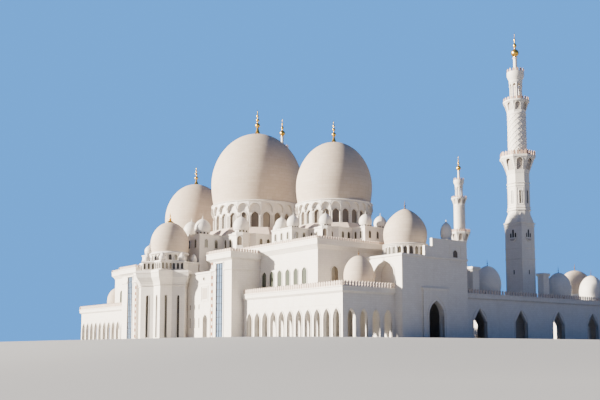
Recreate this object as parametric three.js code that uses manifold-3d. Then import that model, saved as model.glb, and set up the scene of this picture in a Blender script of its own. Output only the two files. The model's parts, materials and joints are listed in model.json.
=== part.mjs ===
import * as THREE from 'three';
import { mergeVertices } from 'three/addons/utils/BufferGeometryUtils.js';
import Module from 'manifold-3d';

// A domed marble mosque with a walled courtyard, as a 1:10 model.
// Every size below is in metres of the real building. One real metre is 100 mm of the model.
// The origin is on the ground under the main dome. +X runs along the prayer wall, +Y to the courtyard.

const wasm = await Module();
wasm.setup();

const MM_PER_METRE = 100;
const GAP = 0.003; // 0.3 mm in the model, kept wherever two pieces meet

// The prayer hall
const HALL = {
  halfWidth: 64.3, halfDepth: 24.1, wall: 1.5, floor: 0.6,
  ceiling: 25.6, roofTop: 27.0, corniceUnder: 26.3, top: 27.7, corniceReach: 1.0,
};
const FRONT_WINDOW = { first: 38.7, pitch: 3.93, count: 6, width: 2.2, sill: 14.0, spring: 19.2, top: 20.4 };
const SIDE_WINDOW = { offset: 18.0, width: 2.6, sill: 14.0, spring: 19.3, top: 20.6 };
const SIDE_DOOR = { centre: 0.5, width: 4.6, spring: 7.5, top: 10.5 };
const COURT_DOOR = { count: 7, pitch: 12.6, width: 6.0, spring: 8.0, top: 12.0 };

// The three great domes, from the foot of the drum upwards
const MAIN_DOME = {
  x: 0, y: 0, radius: 16.4, foot: 48.0, footRadius: 15.5, widest: 56.0, apex: 74.6, tip: 84.1,
  drumRadius: 15.4, drumFoot: 38.4, windowTop: 43.9, windowWidth: 2.3, shell: 1.0, sides: 24, domeSides: 20,
};
const FLANK_DOME = {
  x: 42.87, y: 0, radius: 12.1, foot: 42.9, footRadius: 11.5, widest: 48.6, apex: 63.1, tip: 70.6,
  drumRadius: 11.5, drumFoot: 35.4, windowTop: 39.9, windowWidth: 1.9, shell: 0.8, sides: 24, domeSides: 20,
};

// The cross-shaped blocks that carry the drums, with a small cupola on each corner
const MAIN_BASE = {
  half: 18.5, chamfer: 5.2, armHalf: 6.5, armReach: 27.6, top: 35.4, sideReach: 24.9,
  turret: 16.3, pair: 3.7, pairReach: 24.8, cupola: 2.7, cupolaTop: 41.2, wall: 1.2,
};
const FLANK_BASE = {
  half: 14.2, chamfer: 3.9, armHalf: 5.0, armReach: 20.7, top: 33.4, sideReach: 19.9,
  turret: 12.4, pair: 3.0, pairReach: 18.6, cupola: 1.95, cupolaTop: 37.3, wall: 1.0, sideCupola: 18.0,
};

// The prayer bay that stands out in front of the hall, on an eight-pointed star plan of two crossed squares.
// The flare under its roof edge runs as [reach, rise] from flareFoot. Each slot is on the face turned by
// [degrees] from the front, toward one [end] of it.
const BAY = {
  y: -35.1, half: 7.25, wall: 1.2, top: 22.4, flareFoot: 17.6,
  flare: [[0, 0], [0.34, 1.1], [1.15, 2.6], [1.35, 3.9]],
  ringHalf: 6.9, ringTop: 25.6, drumRadius: 5.8, slotWidth: 0.9, slotTop: 14.6, slotFoot: 1.0,
  domelet: 1.1, domeletReach: 8.2, domeletTop: 28.6, arch: 11.6, archSpring: 12, archTop: 19,
  slots: [[-90, 1], [-45, -1], [-45, 1], [0, -1], [0, 1], [45, -1], [45, 1], [90, -1]],
};
const BAY_DOME = {
  x: 0, y: BAY.y, radius: 6.3, foot: 28.9, footRadius: 5.8, widest: 31.9, apex: 39.2, tip: 42.6, shell: 0.6,
};

// The walls and pylons beside the bay
const LINK = { front: -32.8, outer: 24.9, wall: 1.2, top: 21.4, doorX: 19.2, doorWidth: 2.6, doorTop: 8.1 };
const PYLON = {
  inner: 24.9, outer: 36.5, front: -34.4, wall: 1.2, corniceUnder: 24.4, top: 26.0, reach: 1.0,
  glassFrom: 27.9, glassTo: 32.1, glassFoot: 0.6, glassTop: 23.2, moulding: 20.9,
};

// The low arcade round each front corner of the hall
const ARCADE = {
  inner: 37.3, outer: 82.0, front: -30.3, back: -12.0, wall: 0.9, roofUnder: 11.6, top: 13.3,
  corniceUnder: 12.2, reach: 0.6, archWidth: 2.7, archTop: 7.8, spring: 5.2, pitch: 3.95, firstX: 40.1,
  sideArches: [-27.4, -23.1, -18.8, -14.5],
};
const CORNER_DOME = {
  x: 74.6, y: -18.05, radius: 4.18, foot: 15.2, footRadius: 3.9, widest: 17.0, apex: 22.6, shell: 0.5,
};

// The side entrances
const GATE = {
  outer: 85.0, front: -12.0, back: 14.0, wall: 1.2, roofUnder: 21.6, top: 22.8,
  towerX: 78.5, towerY: 5.9, towerTop: 27.9, towerCupola: 1.7, cupolaX: 81.0, cupolaY: 9.95, cupolaTop: 33.4,
  screenFrom: -0.2, screenThick: 0.8, parapetFrom: -3.2, parapetTop: 25.6,
  nicheFrom: 74.7, nicheTo: 82.0, nicheFoot: 14.0, nicheSpring: 17.7, nicheTop: 21.4, nicheDepth: 2.2,
  portalCentre: 0.5, portalWidth: 6.0, portalSpring: 6.5, portalTop: 10.5,
  surroundHalf: 5.0, surroundTop: 13.9, surroundReach: 0.5,
};
const GATE_DOME = {
  x: 74.4, y: 0, radius: 6.25, foot: 26.9, footRadius: 5.8, widest: 30.0, apex: 37.4, shell: 0.6,
  pointed: 1.4,
};

// The courtyard arcades
const COURT = {
  inner: 68.0, outer: 82.0, start: 14.0, farInner: 185.4, farOuter: 199.4, wall: 0.9,
  archWidth: 6.0, archTop: 9.2, spring: 5.2, bay: 19.1, archesPerBay: 2, bays: 6,
  pierFrom: 77.7, pierTo: 80.0, pierDepth: 2.9, pierTop: 21.7, pierYs: [22.3, 56.5], portico: 42.4,
  hallDomeY: 35.0, porticoDomeY: 33.2, farDomes: [22.0, 40.1, 57.3], firstDomeY: 71.7,
  firstArchY: 22.8, lastBay: 57.3, archShift: 3.0,
};
const SMALL_DOME = { radius: 4.15, foot: 15.2, footRadius: 3.85, widest: 17.2, apex: 23.0, rim: 13.3 };
const FAR_GATE = {
  halfWidth: 12.0, front: 183.4, back: 202.0, wall: 1.2, roofUnder: 19.0, top: 20.5,
  archWidth: 9.0, archSpring: 8.0, archTop: 14.0,
};
const FAR_DOME = {
  x: 0, y: 192.7, radius: 8.0, foot: 24.5, footRadius: 7.4, widest: 28.0, apex: 36.5, shell: 0.7,
};

// The minarets at the corners of the courtyard
const MINARET = {
  x: 67.6, nearY: 61.2, farY: 185.0, half: 3.45, shaftTop: 39.7, octagonFoot: 43.6, octagon: 3.5,
  corbelFoot: 56.6, balcony: 6.3, balconySlab: 61.6, balconyTop: 62.4, cylinder: 2.9, corbel: 78.3,
  upperBalcony: 4.5, upperSlab: 81.1, upperTop: 81.9, lantern: 1.9, capFoot: 88.5, cap: 3.05,
  capTop: 92.4, neck: 0.6, neckTop: 97.6, ball: 1.3, ballCentre: 99.3, tip: 107.0, bore: 1.9,
};

const MARBLE = { color: 0xf4f0e8, roughness: 0.45, metalness: 0 };
const IVORY = { color: 0xf1ead9, roughness: 0.4, metalness: 0 };
const ROOFING = { color: 0xd9cfc2, roughness: 0.7, metalness: 0 };
const GOLD = { color: 0xd8a840, roughness: 0.25, metalness: 1 };
const GLASS = { color: 0x5b6f7d, roughness: 0.1, metalness: 0 };

const building = new THREE.Group();

// Turns a closed three.js geometry into a solid that can be joined and cut
function toSolid(geometry) {
  geometry.deleteAttribute('normal');
  geometry.deleteAttribute('uv');
  const merged = mergeVertices(geometry, 1e-4);
  const place = merged.attributes.position;
  const corners = merged.index.array;
  const triangles = [];
  const [a, b, c] = [new THREE.Vector3(), new THREE.Vector3(), new THREE.Vector3()];
  let volume = 0;
  for (let i = 0; i < corners.length; i += 3) {
    const [p, q, r] = [corners[i], corners[i + 1], corners[i + 2]];
    if (p === q || q === r || r === p) continue;
    triangles.push(p, q, r);
    a.fromBufferAttribute(place, p);
    b.fromBufferAttribute(place, q);
    c.fromBufferAttribute(place, r);
    volume += a.dot(b.cross(c));
  }
  if (volume < 0) triangles.reverse();
  return new wasm.Manifold(new wasm.Mesh({
    numProp: 3, vertProperties: new Float32Array(place.array), triVerts: new Uint32Array(triangles),
  }));
}

// A block between two corners, each range given low then high
function block([x0, x1], [y0, y1], [z0, z1]) {
  const geometry = new THREE.BoxGeometry(x1 - x0, y1 - y0, z1 - z0);
  geometry.translate((x0 + x1) / 2, (y0 + y1) / 2, (z0 + z1) / 2);
  return toSolid(geometry);
}

// An upright solid on a plan of [x, y] points
function upright(plan, z0, z1) {
  const shape = new THREE.Shape(plan.map(([x, y]) => new THREE.Vector2(x, y)));
  const geometry = new THREE.ExtrudeGeometry(shape, { depth: z1 - z0, bevelEnabled: false });
  geometry.translate(0, 0, z0);
  return toSolid(geometry);
}

// A turned solid about an upright axis, from [radius, height] points
function turned(profile, sides, x = 0, y = 0, turn = 0) {
  const points = profile.map(([radius, height]) => new THREE.Vector2(radius, height));
  const geometry = new THREE.LatheGeometry(points, sides, turn);
  geometry.rotateX(Math.PI / 2);
  geometry.translate(x, y, 0);
  return toSolid(geometry);
}

// The outline of a pointed or round-topped opening, as [across, height] points
function archOutline(centre, width, foot, spring, top, steps = 2) {
  const outline = [[centre - width / 2, foot], [centre + width / 2, foot]];
  const rightArc = [];
  for (let i = 0; i <= steps; i += 1) {
    const angle = (i / steps) * (Math.PI / 3);
    const across = width * (Math.cos(angle) - 0.5);
    const rise = (Math.sin(angle) / Math.sin(Math.PI / 3)) * (top - spring);
    rightArc.push([across, spring + rise]);
  }
  rightArc.forEach(([across, height]) => outline.push([centre + across, height]));
  rightArc.slice(0, -1).reverse().forEach(([across, height]) => outline.push([centre - across, height]));
  return outline;
}

// Cutters through a wall: along Y for a wall that faces Y, along X for one that faces X
function cutAlongY(outline, y0, y1) {
  const shape = new THREE.Shape(outline.map(([x, z]) => new THREE.Vector2(x, z)));
  const geometry = new THREE.ExtrudeGeometry(shape, { depth: y1 - y0, bevelEnabled: false });
  geometry.rotateX(Math.PI / 2);
  geometry.translate(0, y1, 0);
  return toSolid(geometry);
}

function cutAlongX(outline, x0, x1) {
  const shape = new THREE.Shape(outline.map(([y, z]) => new THREE.Vector2(y, z)));
  const geometry = new THREE.ExtrudeGeometry(shape, { depth: x1 - x0, bevelEnabled: false });
  geometry.rotateX(Math.PI / 2);
  geometry.rotateZ(Math.PI / 2);
  geometry.translate(x0, 0, 0);
  return toSolid(geometry);
}

// A cutter that runs outward from an upright axis, turned by degrees from facing the front
function cutOutward(outline, near, far, degrees, { x, y }) {
  const shape = new THREE.Shape(outline.map(([u, z]) => new THREE.Vector2(u, z)));
  const geometry = new THREE.ExtrudeGeometry(shape, { depth: far - near, bevelEnabled: false });
  geometry.rotateX(Math.PI / 2);
  geometry.translate(0, -near, 0);
  geometry.rotateZ(THREE.MathUtils.degToRad(degrees));
  geometry.translate(x, y, 0);
  return toSolid(geometry);
}

// The window cutters of a round drum, evenly spread
function drumWindows(outline, inner, outer, count, centre) {
  const cutters = [];
  for (let i = 0; i < count; i += 1) {
    cutters.push(cutOutward(outline, inner - 1, outer + 1, ((i + 0.5) / count) * 360, centre));
  }
  return cutters;
}

function joined(solids) {
  return solids.reduce((whole, next) => whole.add(next));
}

function cutBy(solid, cutters) {
  return cutters.reduce((whole, next) => whole.subtract(next), solid);
}

// Adds a solid to the building as a named mesh in millimetres, mirrored in X when side is -1
function addPiece(name, solid, finish, side = 1) {
  const mesh = solid.getMesh();
  const places = new Float32Array(mesh.numVert * 3);
  for (let i = 0; i < mesh.numVert; i += 1) {
    for (let k = 0; k < 3; k += 1) {
      places[3 * i + k] = mesh.vertProperties[mesh.numProp * i + k] * MM_PER_METRE * (k === 0 ? side : 1);
    }
  }
  const triangles = Array.from(mesh.triVerts);
  if (side < 0) triangles.reverse();
  const geometry = new THREE.BufferGeometry();
  geometry.setAttribute('position', new THREE.BufferAttribute(places, 3));
  geometry.setIndex(triangles);
  geometry.computeVertexNormals();
  const piece = new THREE.Mesh(geometry, new THREE.MeshStandardMaterial(finish));
  piece.name = name;
  building.add(piece);
}

function addPair(name, solid, finish) {
  addPiece(`${name}_right`, solid, finish, 1);
  addPiece(`${name}_left`, solid, finish, -1);
}

// The outer outline of an onion dome, from its foot to the tip
function domeOutline(dome, inset, steps) {
  const outline = [];
  const radius = dome.radius - inset;
  const apex = dome.apex - inset;
  const lowerSteps = inset > 0 ? 1 : 2;
  for (let i = 0; i < lowerSteps; i += 1) {
    const part = i / lowerSteps;
    const bulge = Math.sin((part * Math.PI) / 2);
    const footRadius = dome.footRadius - inset;
    outline.push([footRadius + (radius - footRadius) * bulge, dome.foot + (dome.widest - dome.foot) * part]);
  }
  for (let i = 0; i < steps; i += 1) {
    const angle = (i / steps) * (Math.PI / 2);
    const height = dome.widest + (apex - dome.widest) * Math.sin(angle) ** 1.04;
    outline.push([radius * Math.cos(angle) ** (dome.pointed ?? 1), height]);
  }
  outline.push([0, apex]);
  return outline;
}

function domeShell(dome, sides, outerSteps, innerSteps) {
  const inner = domeOutline(dome, dome.shell, innerSteps).reverse();
  const outer = domeOutline(dome, 0, outerSteps);
  return turned([...inner, ...outer], sides, dome.x, dome.y);
}

// A slim stack of cone, balls and spike that stands on the tip of a dome
function finial(dome, sides) {
  const height = dome.tip - dome.apex;
  const base = dome.apex + GAP;
  const at = (radius, part) => [radius * height, base + part * (height - GAP)];
  return turned([
    [0, base], at(0.1, 0), at(0.05, 0.16), at(0.035, 0.34), at(0.1, 0.43), at(0.035, 0.52),
    at(0.065, 0.6), at(0.02, 0.68), [0, dome.tip],
  ], sides, dome.x, dome.y);
}

// The drum under a great dome: a ring of windows under a collar that flares to the dome's foot
function drum(dome) {
  const outer = dome.drumRadius;
  const inner = outer - 1.2;
  const foot = dome.drumFoot + GAP;
  const collarFoot = dome.windowTop + 1.2;
  const collar = dome.footRadius + 0.75;
  const head = dome.foot - GAP;
  const ring = turned([
    [inner, foot], [outer, foot], [outer, collarFoot], [collar, collarFoot + 0.8],
    [dome.footRadius + 0.3, head], [inner, head], [inner, foot],
  ], dome.sides, dome.x, dome.y);
  const spring = dome.windowTop - 1.3;
  const outline = archOutline(0, dome.windowWidth, dome.drumFoot + 0.4, spring, dome.windowTop, 1);
  return cutBy(ring, drumWindows(outline, inner, outer, dome.sides, dome));
}

// A small cupola on a short ring
function cupola(x, y, radius, foot, apex) {
  const ring = foot + 0.28 * (apex - foot);
  return turned([
    [0, foot], [radius * 0.86, foot], [radius * 0.86, ring], [radius, ring + 0.14 * (apex - foot)],
    [radius * 0.74, ring + 0.46 * (apex - foot)], [0, apex],
  ], 6, x, y);
}

// A square with its corners cut off
function chamferedSquare(cx, cy, half, chamfer) {
  const cut = half - chamfer;
  return [
    [cx - cut, cy - half], [cx + cut, cy - half], [cx + half, cy - cut], [cx + half, cy + cut],
    [cx + cut, cy + half], [cx - cut, cy + half], [cx - half, cy + cut], [cx - half, cy - cut],
  ];
}

// The hollow cross-shaped block under a drum, with its skirt roof and corner cupolas
function domeBase(dome, base) {
  const { x, y } = dome;
  const foot = HALL.roofTop + GAP;
  const crossPlan = (inset, z0, z1) => [
    upright(chamferedSquare(x, y, base.half - inset, base.chamfer), z0, z1),
    block([x - base.armHalf + inset, x + base.armHalf - inset],
      [y - base.armReach + inset, y + base.armReach - inset], [z0, z1]),
    block([x - base.sideReach + inset, x + base.sideReach - inset],
      [y - base.armHalf + inset, y + base.armHalf - inset], [z0, z1]),
  ];
  const skirt = turned([
    [0, base.top - 0.1], [(base.half - 0.4) / Math.cos(Math.PI / 8), base.top - 0.1],
    [(base.half - 0.4) / Math.cos(Math.PI / 8), base.top + 0.3], [dome.drumRadius + 0.6, dome.drumFoot],
    [0, dome.drumFoot],
  ], 8, x, y, Math.PI / 8);
  const turrets = [];
  const { turret, pair, pairReach } = base;
  [[1, 1], [1, -1], [-1, 1], [-1, -1]].forEach(([sx, sy]) => {
    turrets.push(cupola(x + sx * turret, y + sy * turret, base.cupola, base.top - 0.1, base.cupolaTop));
    turrets.push(cupola(x + sx * pair, y + sy * pairReach, base.cupola, base.top - 0.1, base.cupolaTop));
  });
  const solid = joined([...crossPlan(0, foot, base.top), skirt, ...turrets]);
  const hole = turned([
    [0, foot - 1], [dome.drumRadius - 1.5, foot - 1], [dome.drumRadius - 1.5, dome.drumFoot + 1],
    [0, dome.drumFoot + 1],
  ], dome.sides, x, y);
  return cutBy(solid, [...crossPlan(base.wall, foot - 1, base.top - base.wall), hole]);
}

function sideCupolas(dome, base) {
  return [-1, 1].map((sy) => cupola(dome.x + base.sideCupola, sy * base.pair, base.cupola, base.top - 0.1,
    base.cupolaTop));
}

function buildHall() {
  const { halfWidth, halfDepth, wall, floor, ceiling, roofTop, corniceUnder, top, corniceReach } = HALL;
  const innerX = halfWidth - wall;
  const innerY = halfDepth - wall;
  const room = [[-innerX + GAP, innerX - GAP], [-innerY + GAP, innerY - GAP]];
  addPiece('hall_floor', block(...room, [0, floor]), ROOFING);

  const windows = [];
  for (let i = 0; i < FRONT_WINDOW.count; i += 1) {
    const centre = FRONT_WINDOW.first + i * FRONT_WINDOW.pitch;
    const { width, sill, spring, top: windowTop } = FRONT_WINDOW;
    [-1, 1].forEach((side) => windows.push(cutAlongY(
      archOutline(side * centre, width, sill, spring, windowTop), -halfDepth - 1, -innerY + 1)));
  }
  const bayArch = cutAlongY(archOutline(0, BAY.arch, -1, BAY.archSpring, BAY.archTop, 3),
    -halfDepth - 1, -innerY + 1);
  const frontWall = joined([
    block([-halfWidth, halfWidth], [-halfDepth, -innerY], [0, top]),
    block([-halfWidth - corniceReach, halfWidth + corniceReach], [-halfDepth - corniceReach, -innerY],
      [corniceUnder, top]),
  ]);
  const armClear = [-halfDepth, halfDepth].map((y) => block(
    [-MAIN_BASE.armHalf - GAP, MAIN_BASE.armHalf + GAP], [y - 2, y + 2], [roofTop, top + 1]));
  const neckClear = block([-MAIN_BASE.armHalf - GAP, MAIN_BASE.armHalf + GAP], [-halfDepth - 2, -halfDepth],
    [corniceUnder - 1, top + 1]);
  const frontCuts = [...windows, bayArch, neckClear, ...armClear];
  addPiece('hall_front_wall', cutBy(frontWall, frontCuts), MARBLE);

  const doors = [];
  for (let i = 0; i < COURT_DOOR.count; i += 1) {
    const centre = (i - (COURT_DOOR.count - 1) / 2) * COURT_DOOR.pitch;
    doors.push(cutAlongY(archOutline(centre, COURT_DOOR.width, -1, COURT_DOOR.spring, COURT_DOOR.top),
      innerY - 1, halfDepth + 1));
  }
  const backWall = joined([
    block([-halfWidth, halfWidth], [innerY, halfDepth], [0, top]),
    block([-halfWidth - corniceReach, halfWidth + corniceReach], [innerY, halfDepth + corniceReach],
      [corniceUnder, top]),
  ]);
  addPiece('hall_courtyard_wall', cutBy(backWall, [...doors, ...armClear]), MARBLE);

  const sideWall = joined([
    block([innerX, halfWidth], [-innerY + GAP, innerY - GAP], [0, top]),
    block([innerX, halfWidth + corniceReach], [-innerY + GAP, innerY - GAP], [corniceUnder, top]),
  ]);
  const { offset, width, sill, spring } = SIDE_WINDOW;
  const sideCuts = [-1, 1].map((end) => cutAlongX(
    archOutline(end * offset, width, sill, spring, SIDE_WINDOW.top), innerX - 1, halfWidth + 2));
  const doorOutline = archOutline(SIDE_DOOR.centre, SIDE_DOOR.width, -1, SIDE_DOOR.spring, SIDE_DOOR.top);
  const sideDoor = cutAlongX(doorOutline, innerX - 1, halfWidth + 2);
  addPair('hall_side_wall', cutBy(sideWall, [...sideCuts, sideDoor]), MARBLE);

  const roof = block(...room, [ceiling, roofTop]);
  const eyes = [-1, 0, 1].map((side) => {
    const dome = side === 0 ? MAIN_DOME : FLANK_DOME;
    const radius = dome.drumRadius - 1.5;
    return turned([[0, ceiling - 1], [radius, ceiling - 1], [radius, roofTop + 1], [0, roofTop + 1]],
      dome.sides, side * dome.x, 0);
  });
  addPiece('hall_roof', cutBy(roof, eyes), ROOFING);
}

function buildGreatDomes() {
  addPiece('main_dome_base', domeBase(MAIN_DOME, MAIN_BASE), MARBLE);
  addPiece('main_dome_drum', drum(MAIN_DOME), MARBLE);
  addPiece('main_dome', domeShell(MAIN_DOME, MAIN_DOME.domeSides, 7, 3), IVORY);
  addPiece('main_dome_finial', finial(MAIN_DOME, 6), GOLD);
  const keepClear = block([0, MAIN_BASE.sideReach + GAP], [-10, 10], [20, 40]);
  const flankBase = joined([domeBase(FLANK_DOME, FLANK_BASE), ...sideCupolas(FLANK_DOME, FLANK_BASE)]);
  addPair('flank_dome_base', cutBy(flankBase, [keepClear]), MARBLE);
  addPair('flank_dome_drum', drum(FLANK_DOME), MARBLE);
  addPair('flank_dome', domeShell(FLANK_DOME, FLANK_DOME.domeSides, 6, 3), IVORY);
  addPair('flank_dome_finial', finial(FLANK_DOME, 6), GOLD);
}

// A solid on an eight-pointed star plan, from [half side, height] points
function star(profile, y) {
  const points = profile.map(([half, height]) => [half * Math.SQRT2, height]);
  return turned(points, 4, 0, y, Math.PI / 4).add(turned(points, 4, 0, y, 0));
}

// The bay's outer form between two heights, swollen by a clearance
function bayForm(foot, top, clearance) {
  const flare = BAY.flare.map(([reach, rise]) => [BAY.half + reach + clearance, BAY.flareFoot + rise]);
  const edge = flare[flare.length - 1][0];
  return star([[0, foot], [BAY.half + clearance, foot], ...flare, [edge, top], [0, top]], BAY.y);
}

// The star-shaped prayer bay with its slots and flare, its window ring, drum, domelets and dome
function buildBay() {
  const { y, half, wall, top, ringHalf, ringTop, drumRadius } = BAY;
  const back = -HALL.halfDepth - GAP;
  const arm = MAIN_BASE.armHalf;
  const hallSide = block([-HALL.halfWidth, HALL.halfWidth], [back, 0], [-1, HALL.top]);
  const walls = joined([
    bayForm(0, top, 0).subtract(hallSide),
    block([-half, half], [y, back], [0, top]),
    block([-arm, arm], [-MAIN_BASE.armReach, back], [top - 0.1, HALL.roofTop]),
  ]);
  const inside = joined([
    star([[0, -1], [half - wall, -1], [half - wall, top - wall], [0, top - wall]], y),
    block([-half + wall, half - wall], [y, back + 1], [-1, top - wall]),
  ]);
  const clear = drumRadius - 0.8;
  const bore = (z0, z1) => turned([[0, z0], [clear, z0], [clear, z1], [0, z1]], 16, 0, y);
  const slots = BAY.slots.map(([degrees, end]) => {
    const centre = end * half * Math.SQRT1_2;
    const outline = archOutline(centre, BAY.slotWidth, BAY.slotFoot, BAY.slotTop - 0.6, BAY.slotTop);
    return cutOutward(outline, half - wall - 0.4, half + 1, degrees, BAY_DOME);
  });
  addPiece('bay_walls', cutBy(walls, [inside, bore(top - wall - 1, top + 1), ...slots]), MARBLE);

  const domelets = [-135, -90, -45, 0, 45, 90, 135].map((degrees) => {
    const angle = THREE.MathUtils.degToRad(degrees);
    return cupola(BAY.domeletReach * Math.sin(angle), y - BAY.domeletReach * Math.cos(angle), BAY.domelet,
      ringTop - 0.1, BAY.domeletTop);
  });
  const ring = joined([
    star([[0, top + GAP], [ringHalf, top + GAP], [ringHalf, ringTop], [0, ringTop]], y),
    turned([[0, ringTop - 0.1], [drumRadius, ringTop - 0.1], [drumRadius, BAY_DOME.foot - 1.0],
      [drumRadius + 0.4, BAY_DOME.foot - 0.5], [BAY_DOME.footRadius, BAY_DOME.foot - GAP],
      [0, BAY_DOME.foot - GAP]], 16, 0, y),
    ...domelets,
  ]);
  const armSide = block([-arm - GAP, arm + GAP], [-MAIN_BASE.armReach - GAP, back], [top - 1, HALL.roofTop]);
  addPiece('bay_drum', cutBy(ring, [armSide, bore(top - 1, BAY_DOME.foot + 1)]), MARBLE);
  addPiece('bay_dome', domeShell(BAY_DOME, 16, 5, 2), IVORY);
  addPiece('bay_dome_finial', finial(BAY_DOME, 6), GOLD);
}

// The plain wall and flat roof between the bay and each pylon, fitted round the bay
function buildLinks() {
  const x = [BAY.half + GAP, LINK.outer - GAP];
  const back = -HALL.halfDepth - GAP;
  const shell = joined([
    block(x, [LINK.front, LINK.front + LINK.wall], [0, LINK.top]),
    block(x, [LINK.front, back], [LINK.top - LINK.wall, LINK.top]),
  ]);
  const door = cutAlongY(archOutline(LINK.doorX, LINK.doorWidth, -1, LINK.doorTop - 1.6, LINK.doorTop),
    LINK.front - 1, LINK.front + LINK.wall + 1);
  addPair('link_wall', cutBy(shell, [door, bayForm(-1, LINK.top + 1, GAP)]), MARBLE);
}

// The tall pylon with its strip of glass on each side of the bay
function buildPylons() {
  const { inner, outer, front, wall, corniceUnder, top, reach, moulding } = PYLON;
  const { glassFrom, glassTo, glassTop, glassFoot } = PYLON;
  const back = -HALL.halfDepth - GAP;
  const body = joined([
    block([inner, outer], [front, back], [0, top]),
    block([inner - reach, outer + reach], [front - reach, back], [corniceUnder, top]),
    block([inner, outer + 0.4], [front - 0.3, back], [moulding, moulding + 0.8]),
  ]);
  const inside = block([inner + wall, outer - wall], [front + wall, back - wall], [-1, top - wall]);
  const slot = block([glassFrom, glassTo], [front - 2, front + wall + 1], [glassFoot, glassTop]);
  addPair('pylon', cutBy(body, [inside, slot]), MARBLE);
  addPair('pylon_glass', block([glassFrom + GAP, glassTo - GAP], [front + 0.3, front + 0.6],
    [glassFoot + GAP, glassTop - GAP]), GLASS);
}

// The low L-shaped arcade at each front corner, with a dome over its corner
function buildCornerArcades() {
  const { inner, outer, front, back, wall, roofUnder, top, corniceUnder, reach, archWidth, archTop } = ARCADE;
  const hallFace = -HALL.halfDepth - GAP;
  const hallSide = HALL.halfWidth + GAP;
  const start = Math.max(inner, PYLON.outer + 0.4) + GAP;
  const walls = joined([
    block([start, outer], [front, front + wall], [0, top]),
    block([outer - wall, outer], [front, back - GAP], [0, top]),
    block([start, outer + reach], [front - reach, front + wall], [corniceUnder, top]),
    block([outer - wall, outer + reach], [front - reach, back - GAP], [corniceUnder, top]),
  ]);
  const arches = [];
  for (let x = ARCADE.firstX; x < outer - archWidth / 2; x += ARCADE.pitch) {
    const outline = archOutline(x, archWidth, -1, ARCADE.spring, archTop);
    arches.push(cutAlongY(outline, front - 1, front + wall + 1));
  }
  ARCADE.sideArches.forEach((y) => {
    const outline = archOutline(y, archWidth, -1, ARCADE.spring, archTop);
    arches.push(cutAlongX(outline, outer - wall - 1, outer + 1));
  });
  const dome = CORNER_DOME;
  const slab = joined([
    block([start, outer - 0.1], [front + 0.1, hallFace], [roofUnder, top - 0.3]),
    block([hallSide, outer - 0.1], [front + 0.1, back - GAP], [roofUnder, top - 0.3]),
    turned([[0, roofUnder + 0.5], [dome.footRadius, roofUnder + 0.5], [dome.footRadius, dome.foot - GAP],
      [0, dome.foot - GAP]], 12, dome.x, dome.y),
  ]);
  const eye = turned([[0, roofUnder - 1], [dome.footRadius - 0.7, roofUnder - 1],
    [dome.footRadius - 0.7, dome.foot + 1], [0, dome.foot + 1]], 12, dome.x, dome.y);
  addPair('corner_arcade', cutBy(walls.add(slab), [...arches, eye]), MARBLE);
  addPair('corner_dome', domeShell(dome, 12, 4, 2), IVORY);
}

// The side entrance block with its tall niche, portal, rear tower and dome
function buildGates() {
  const { outer, front, back, wall, roofUnder, top, portalCentre, towerY, towerTop, screenFrom } = GATE;
  const hallSide = HALL.halfWidth + HALL.corniceReach + GAP;
  const screen = [outer - GATE.screenThick, outer];
  const body = joined([
    block([hallSide, outer], [front, back], [0, top]),
    block([GATE.towerX, outer], [towerY, back], [top - 0.1, towerTop]),
    block(screen, [screenFrom, towerY + 0.1], [top - 0.1, towerTop]),
    block(screen, [GATE.parapetFrom, screenFrom + 0.1], [top - 0.1, GATE.parapetTop]),
    block([outer - 1, outer + GATE.surroundReach],
      [portalCentre - GATE.surroundHalf, portalCentre + GATE.surroundHalf], [0, GATE.surroundTop]),
    cupola(GATE.cupolaX, GATE.cupolaY, GATE.towerCupola, towerTop - 0.1, GATE.cupolaTop),
  ]);
  const inside = block([hallSide - 1, outer - wall], [front + wall + GATE.nicheDepth, back - wall],
    [-1, roofUnder]);
  const niche = cutAlongY(archOutline((GATE.nicheFrom + GATE.nicheTo) / 2, GATE.nicheTo - GATE.nicheFrom,
    GATE.nicheFoot, GATE.nicheSpring, GATE.nicheTop, 4), front - 1, front + GATE.nicheDepth);
  const doorway = cutAlongX(
    archOutline(portalCentre, GATE.portalWidth, -1, GATE.portalSpring, GATE.portalTop, 3),
    outer - wall - 1, outer + 3);
  const dome = GATE_DOME;
  const drumInner = dome.footRadius - 1.0;
  const eye = turned([[0, roofUnder - 1], [drumInner, roofUnder - 1], [drumInner, top + 1], [0, top + 1]],
    16, dome.x, dome.y);
  const drumRing = turned([
    [drumInner, top - 0.1], [dome.footRadius, top - 0.1], [dome.footRadius, dome.foot - 0.9],
    [dome.footRadius + 0.3, dome.foot - GAP], [drumInner, dome.foot - GAP], [drumInner, top - 0.1],
  ], 12, dome.x, dome.y);
  addPair('side_gate', cutBy(body, [inside, niche, doorway, eye]).add(drumRing), MARBLE);
  addPair('side_gate_dome', domeShell(dome, 16, 5, 2), IVORY);
}

function smallDome(x, y) {
  const dome = SMALL_DOME;
  const outline = domeOutline(dome, 0, 2);
  return turned([[0, dome.rim - 0.6], [dome.footRadius, dome.rim - 0.6], ...outline], 8, x, y, Math.PI / 8);
}

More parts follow.
